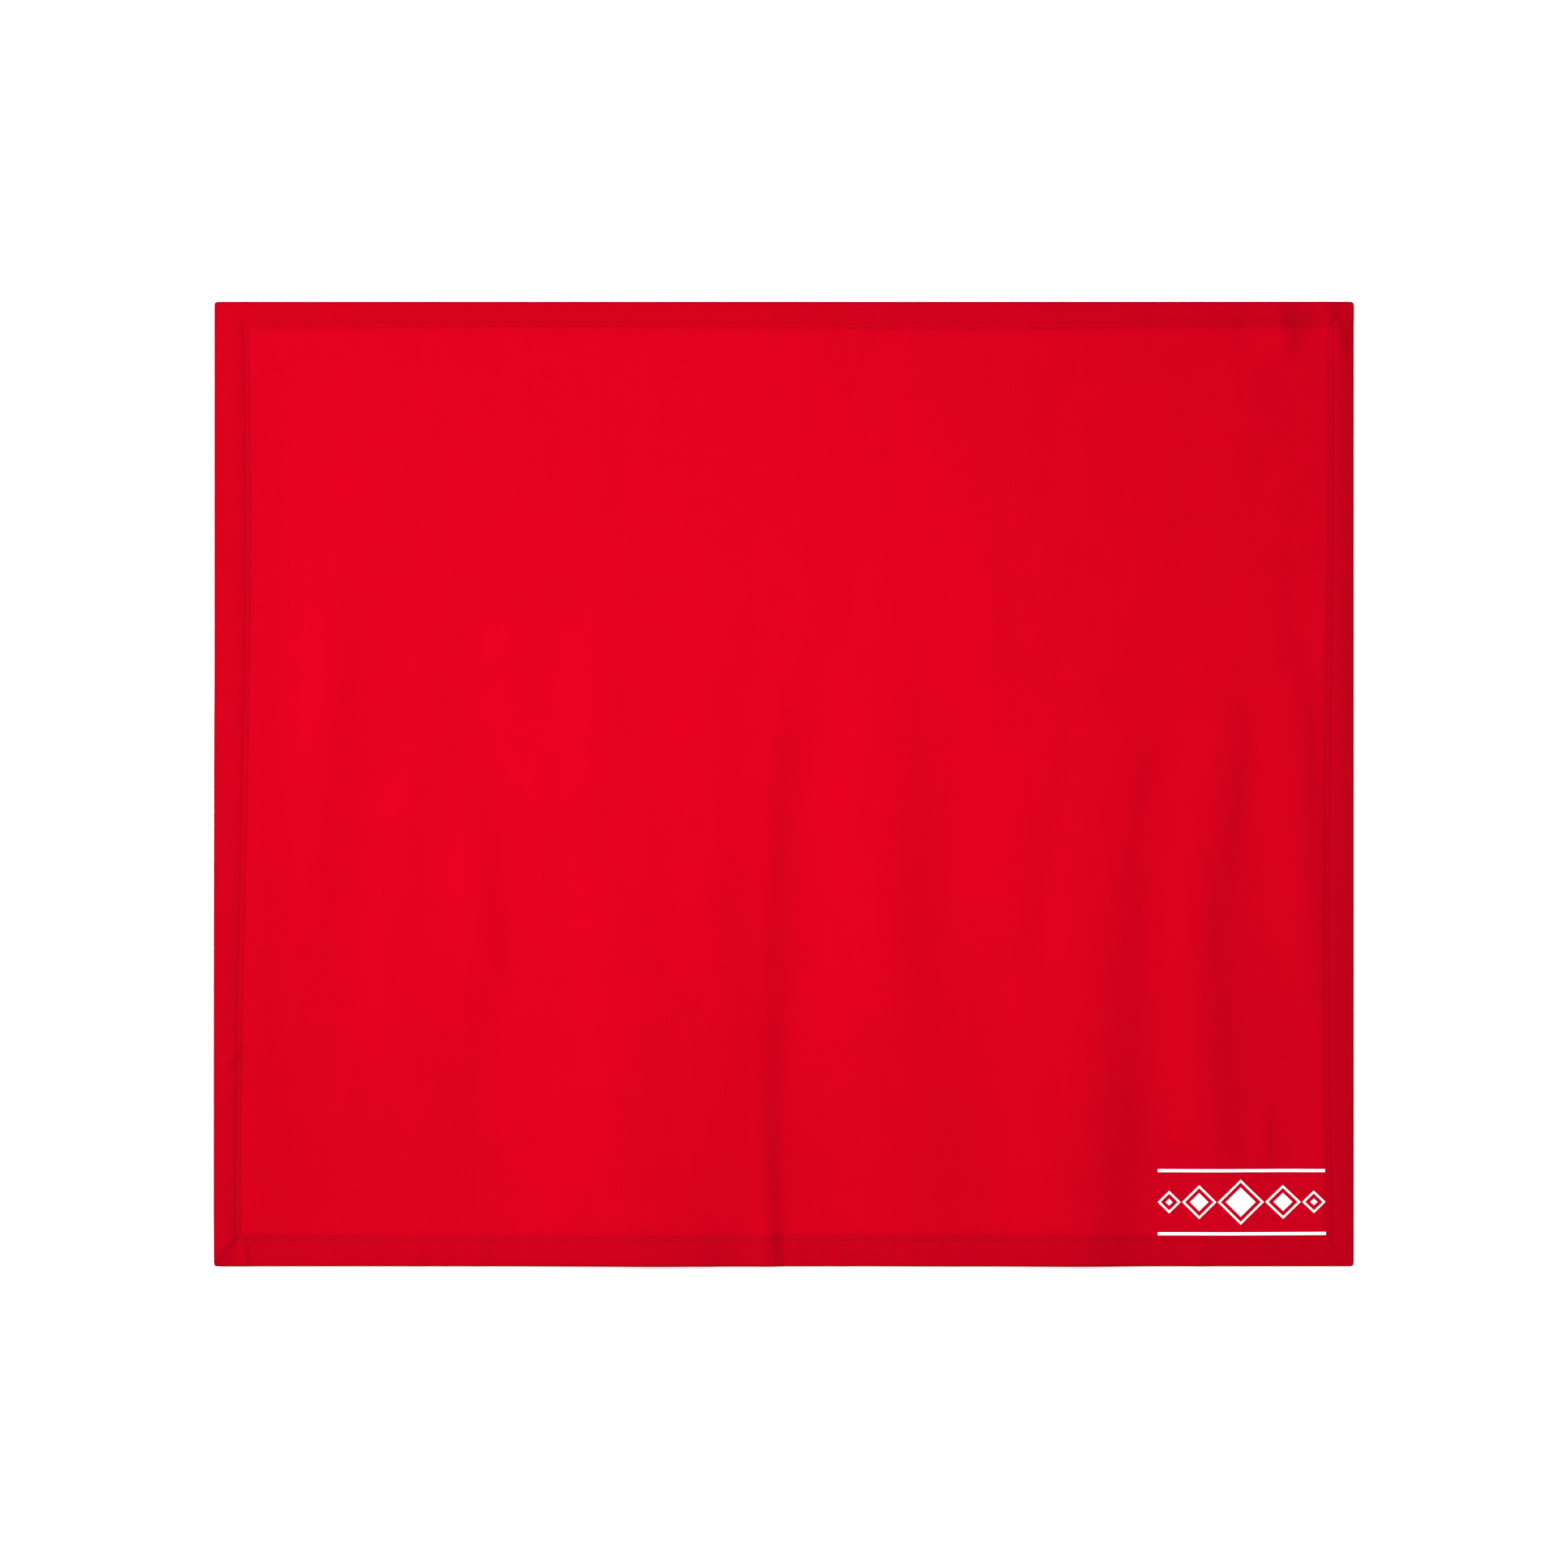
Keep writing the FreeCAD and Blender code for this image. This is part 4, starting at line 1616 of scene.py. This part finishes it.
@dataclass
class CornerPrint(ClothPiece):
    """The print in the lower right corner: a row of lozenges, largest in the middle, between two rules.

    steps is how many lozenges stand on each side of the middle one. reach is from the middle of the largest
    to its tips, and fall is how much less that is on each next one. cell is how finely they follow the
    cloth.
    """

    steps: int = 2
    reach: float = 30.0
    fall: float = 7.5
    gap: float = 2.0
    line: float = 3.5
    ground: float = 7.0
    rule: float = 4.0
    film: float = 0.15
    stand_off: float = 0.12
    cell: float = 4.0
    rule_cells: int = 56

    def build(self) -> bpy.types.Object:
        """Draws the motif flat, gives it the thickness of the ink and lays it on the face.

        Returns:
            The print.
        """
        low, high = (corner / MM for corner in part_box("corner_print"))
        middle = (low + high) / 2
        parts = [self._lozenge(middle, step) for step in range(-self.steps, self.steps + 1)]
        for edge_y in (low.y + self.rule / 2, high.y - self.rule / 2):
            parts.append(self._rule((middle.x, edge_y, low.z + self.stand_off), high.x - low.x))
        motif = join("printed_motif", parts)
        modify(motif, "SOLIDIFY", thickness=self.film * MM, offset=1.0)
        return self.lay_down(
            motif, Skin.FACE, self.finishes.ink, ("corner_print",), "print_ink", "lower_half"
        )

    def _lozenge(self, middle: Vector, step: int) -> bpy.types.Object:
        """One lozenge: a ring, a band of bare cloth, and a solid lozenge inside it.

        Args:
            middle: the middle of the row.
            step: which lozenge, counted from the middle one.

        Returns:
            The flat lozenge.
        """
        away = abs(step)
        reach = self.reach - away * self.fall
        x = middle.x + step * (2 * self.reach + self.gap - away * self.fall)
        lozenge = add_primitive(
            f"lozenge_{step + self.steps}", bpy.ops.mesh.primitive_circle_add, vertices=4, radius=reach * MM,
            fill_type="NGON", location=metres((x, middle.y, self.drape.layout.cloth * 2 + self.stand_off)),
        )
        with editing(lozenge) as shape:
            bpy.ops.mesh.select_all(action="SELECT")
            # An inset is measured square to the sides, and the line and the ground from tip to tip.
            bpy.ops.mesh.inset(thickness=self.line * MM / math.sqrt(2))
            ring = [face for face in shape.faces if not face.select]
            bpy.ops.mesh.inset(thickness=self.ground * MM / math.sqrt(2))
            bare = [face for face in shape.faces if not face.select and face not in ring]
            bpy.ops.mesh.select_all(action="DESELECT")
            for face in bare:
                face.select_set(True)
            bmesh.update_edit_mesh(lozenge.data)
            bpy.ops.mesh.delete(type="ONLY_FACE")
            bpy.ops.mesh.select_all(action="SELECT")
            bpy.ops.mesh.subdivide(number_cuts=max(2, int(reach / self.cell)))
        face_outwards(lozenge)
        return lozenge

    def _rule(self, middle: Sequence[float], length: float) -> bpy.types.Object:
        """One straight rule, in strips short enough to follow the cloth.

        Args:
            middle: its middle.
            length: its length.

        Returns:
            The flat rule.
        """
        return add_primitive(
            "rule", bpy.ops.mesh.primitive_grid_add, (length, self.rule, 1),
            x_subdivisions=self.rule_cells, y_subdivisions=2, size=MM, location=metres(middle),
        )


@dataclass
class CareLabel(ClothPiece):
    """A blank ribbon label on the back, its end caught under the top hem, its edges cut with heat."""

    columns: int = 8
    rows: int = 12
    edge_bead: float = 0.1

    def build(self) -> bpy.types.Object:
        """Models the ribbon flat in its place and lays it on the back.

        Returns:
            The label.
        """
        low, high = (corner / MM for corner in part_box("care_label"))
        size = high - low
        label = add_primitive(
            "blank_care_label", bpy.ops.mesh.primitive_grid_add, (size.x, size.y, 1),
            x_subdivisions=self.columns, y_subdivisions=self.rows, size=MM, location=metres((low + high) / 2),
        )
        modify(label, "SOLIDIFY", thickness=size.z * MM, offset=0.0)
        modify(label, "BEVEL", width=self.edge_bead * MM, segments=2, limit_method="ANGLE")
        return self.lay_down(
            label, Skin.BACK, self.finishes.ribbon, ("care_label",), "label_satin", "upper_half"
        )


# ---------------------------------------------------------------------------------------------------------
# The room
# ---------------------------------------------------------------------------------------------------------


@dataclass(frozen=True)
class SoftLamp:
    """A round softbox aimed at the middle of the blanket. Angles in degrees, distance and size in metres."""

    name: str
    azimuth: float
    elevation: float
    distance: float
    size: float
    power: float

    def build(self) -> None:
        """Adds the lamp. The camera looks past it."""
        azimuth, elevation = math.radians(self.azimuth), math.radians(self.elevation)
        level = math.cos(elevation)
        towards = Vector((math.cos(azimuth) * level, math.sin(azimuth) * level, math.sin(elevation)))
        data = bpy.data.lights.new(self.name, "AREA")
        data.shape = "DISK"
        data.size = self.size
        data.energy = self.power
        lamp = bpy.data.objects.new(self.name, data)
        lamp.location = towards * self.distance
        lamp.rotation_euler = towards.to_track_quat("Z", "Y").to_euler()
        lamp.visible_camera = False
        bpy.context.scene.collection.objects.link(lamp)


@dataclass
class Studio:
    """A plain white floor, soft light from the left and a camera straight above the blanket."""

    floor_size: float = 40.0
    floor_drop: float = 0.05
    floor_glow: float = 0.4
    world_light: float = 0.65
    lens: float = 85.0
    sensor: float = 36.0
    frame_width: float = 2.0655
    lamps: tuple[SoftLamp, ...] = (
        SoftLamp("left_key", azimuth=164, elevation=26, distance=7.6, size=2.3, power=1050),
        SoftLamp("middle_fill", azimuth=65, elevation=84, distance=1.34, size=0.5, power=9.0),
    )

    def build(self) -> None:
        """Builds the floor, the lights and the camera."""
        self._floor()
        self._room_light()
        for lamp in self.lamps:
            lamp.build()
        self._camera()

    def _floor(self) -> None:
        """A white floor just under the blanket."""
        floor = add_primitive(
            "studio_floor", bpy.ops.mesh.primitive_plane_add, size=self.floor_size,
            location=(0, 0, -self.floor_drop * MM),
        )
        acrylic = LitAcrylic("backlit_white_acrylic", "#FAFAFA", self.floor_glow)
        floor.data.materials.append(acrylic.material())

    def _room_light(self) -> None:
        """Even light from all round, as from pale walls."""
        world = bpy.data.worlds.new("pale_room")
        bpy.context.scene.world = world
        world.use_nodes = True
        background = world.node_tree.nodes["Background"]
        background.inputs["Color"].default_value = (1.0, 1.0, 1.0, 1.0)
        background.inputs["Strength"].default_value = self.world_light

    def _camera(self) -> None:
        """A long lens straight above, so that the blanket's outline stays square."""
        data = bpy.data.cameras.new("overhead")
        data.lens = self.lens
        data.sensor_width = self.sensor
        camera = bpy.data.objects.new("overhead", data)
        camera.location = (0, 0, self.frame_width * self.lens / self.sensor)
        bpy.context.scene.collection.objects.link(camera)
        bpy.context.scene.camera = camera
        bpy.context.scene.view_settings.view_transform = "Standard"


# ---------------------------------------------------------------------------------------------------------


def main() -> None:
    """Builds the blanket, piece by piece, and the room round it."""
    logging.basicConfig(level=logging.INFO, format="%(name)s: %(message)s")
    layout = Layout.from_frame()
    log.info("layout: %s", layout)
    drape = Drape(layout)
    finishes = Finishes.build()
    sheet = FaceCloth(drape, finishes).build()
    on_cloth = [
        kind(drape, finishes, side).build()
        for kind in (TurnedHem, NeedleStitches, LooperThread)
        for side in Side
    ]
    on_cloth += [
        MitreSeam(drape, finishes, level, hand).build()
        for level in (Side.BOTTOM, Side.TOP)
        for hand in (Side.LEFT, Side.RIGHT)
    ]
    on_cloth += [CornerPrint(drape, finishes).build(), CareLabel(drape, finishes).build()]
    for piece in (sheet, *on_cloth):
        log.info("%s: %d faces", piece.name, len(piece.data.polygons))
    # The stock size reaches to the hems' folds, so the cut cloth is a hem wider all round.
    Studio().build()


if __name__ == "__main__":
    main()
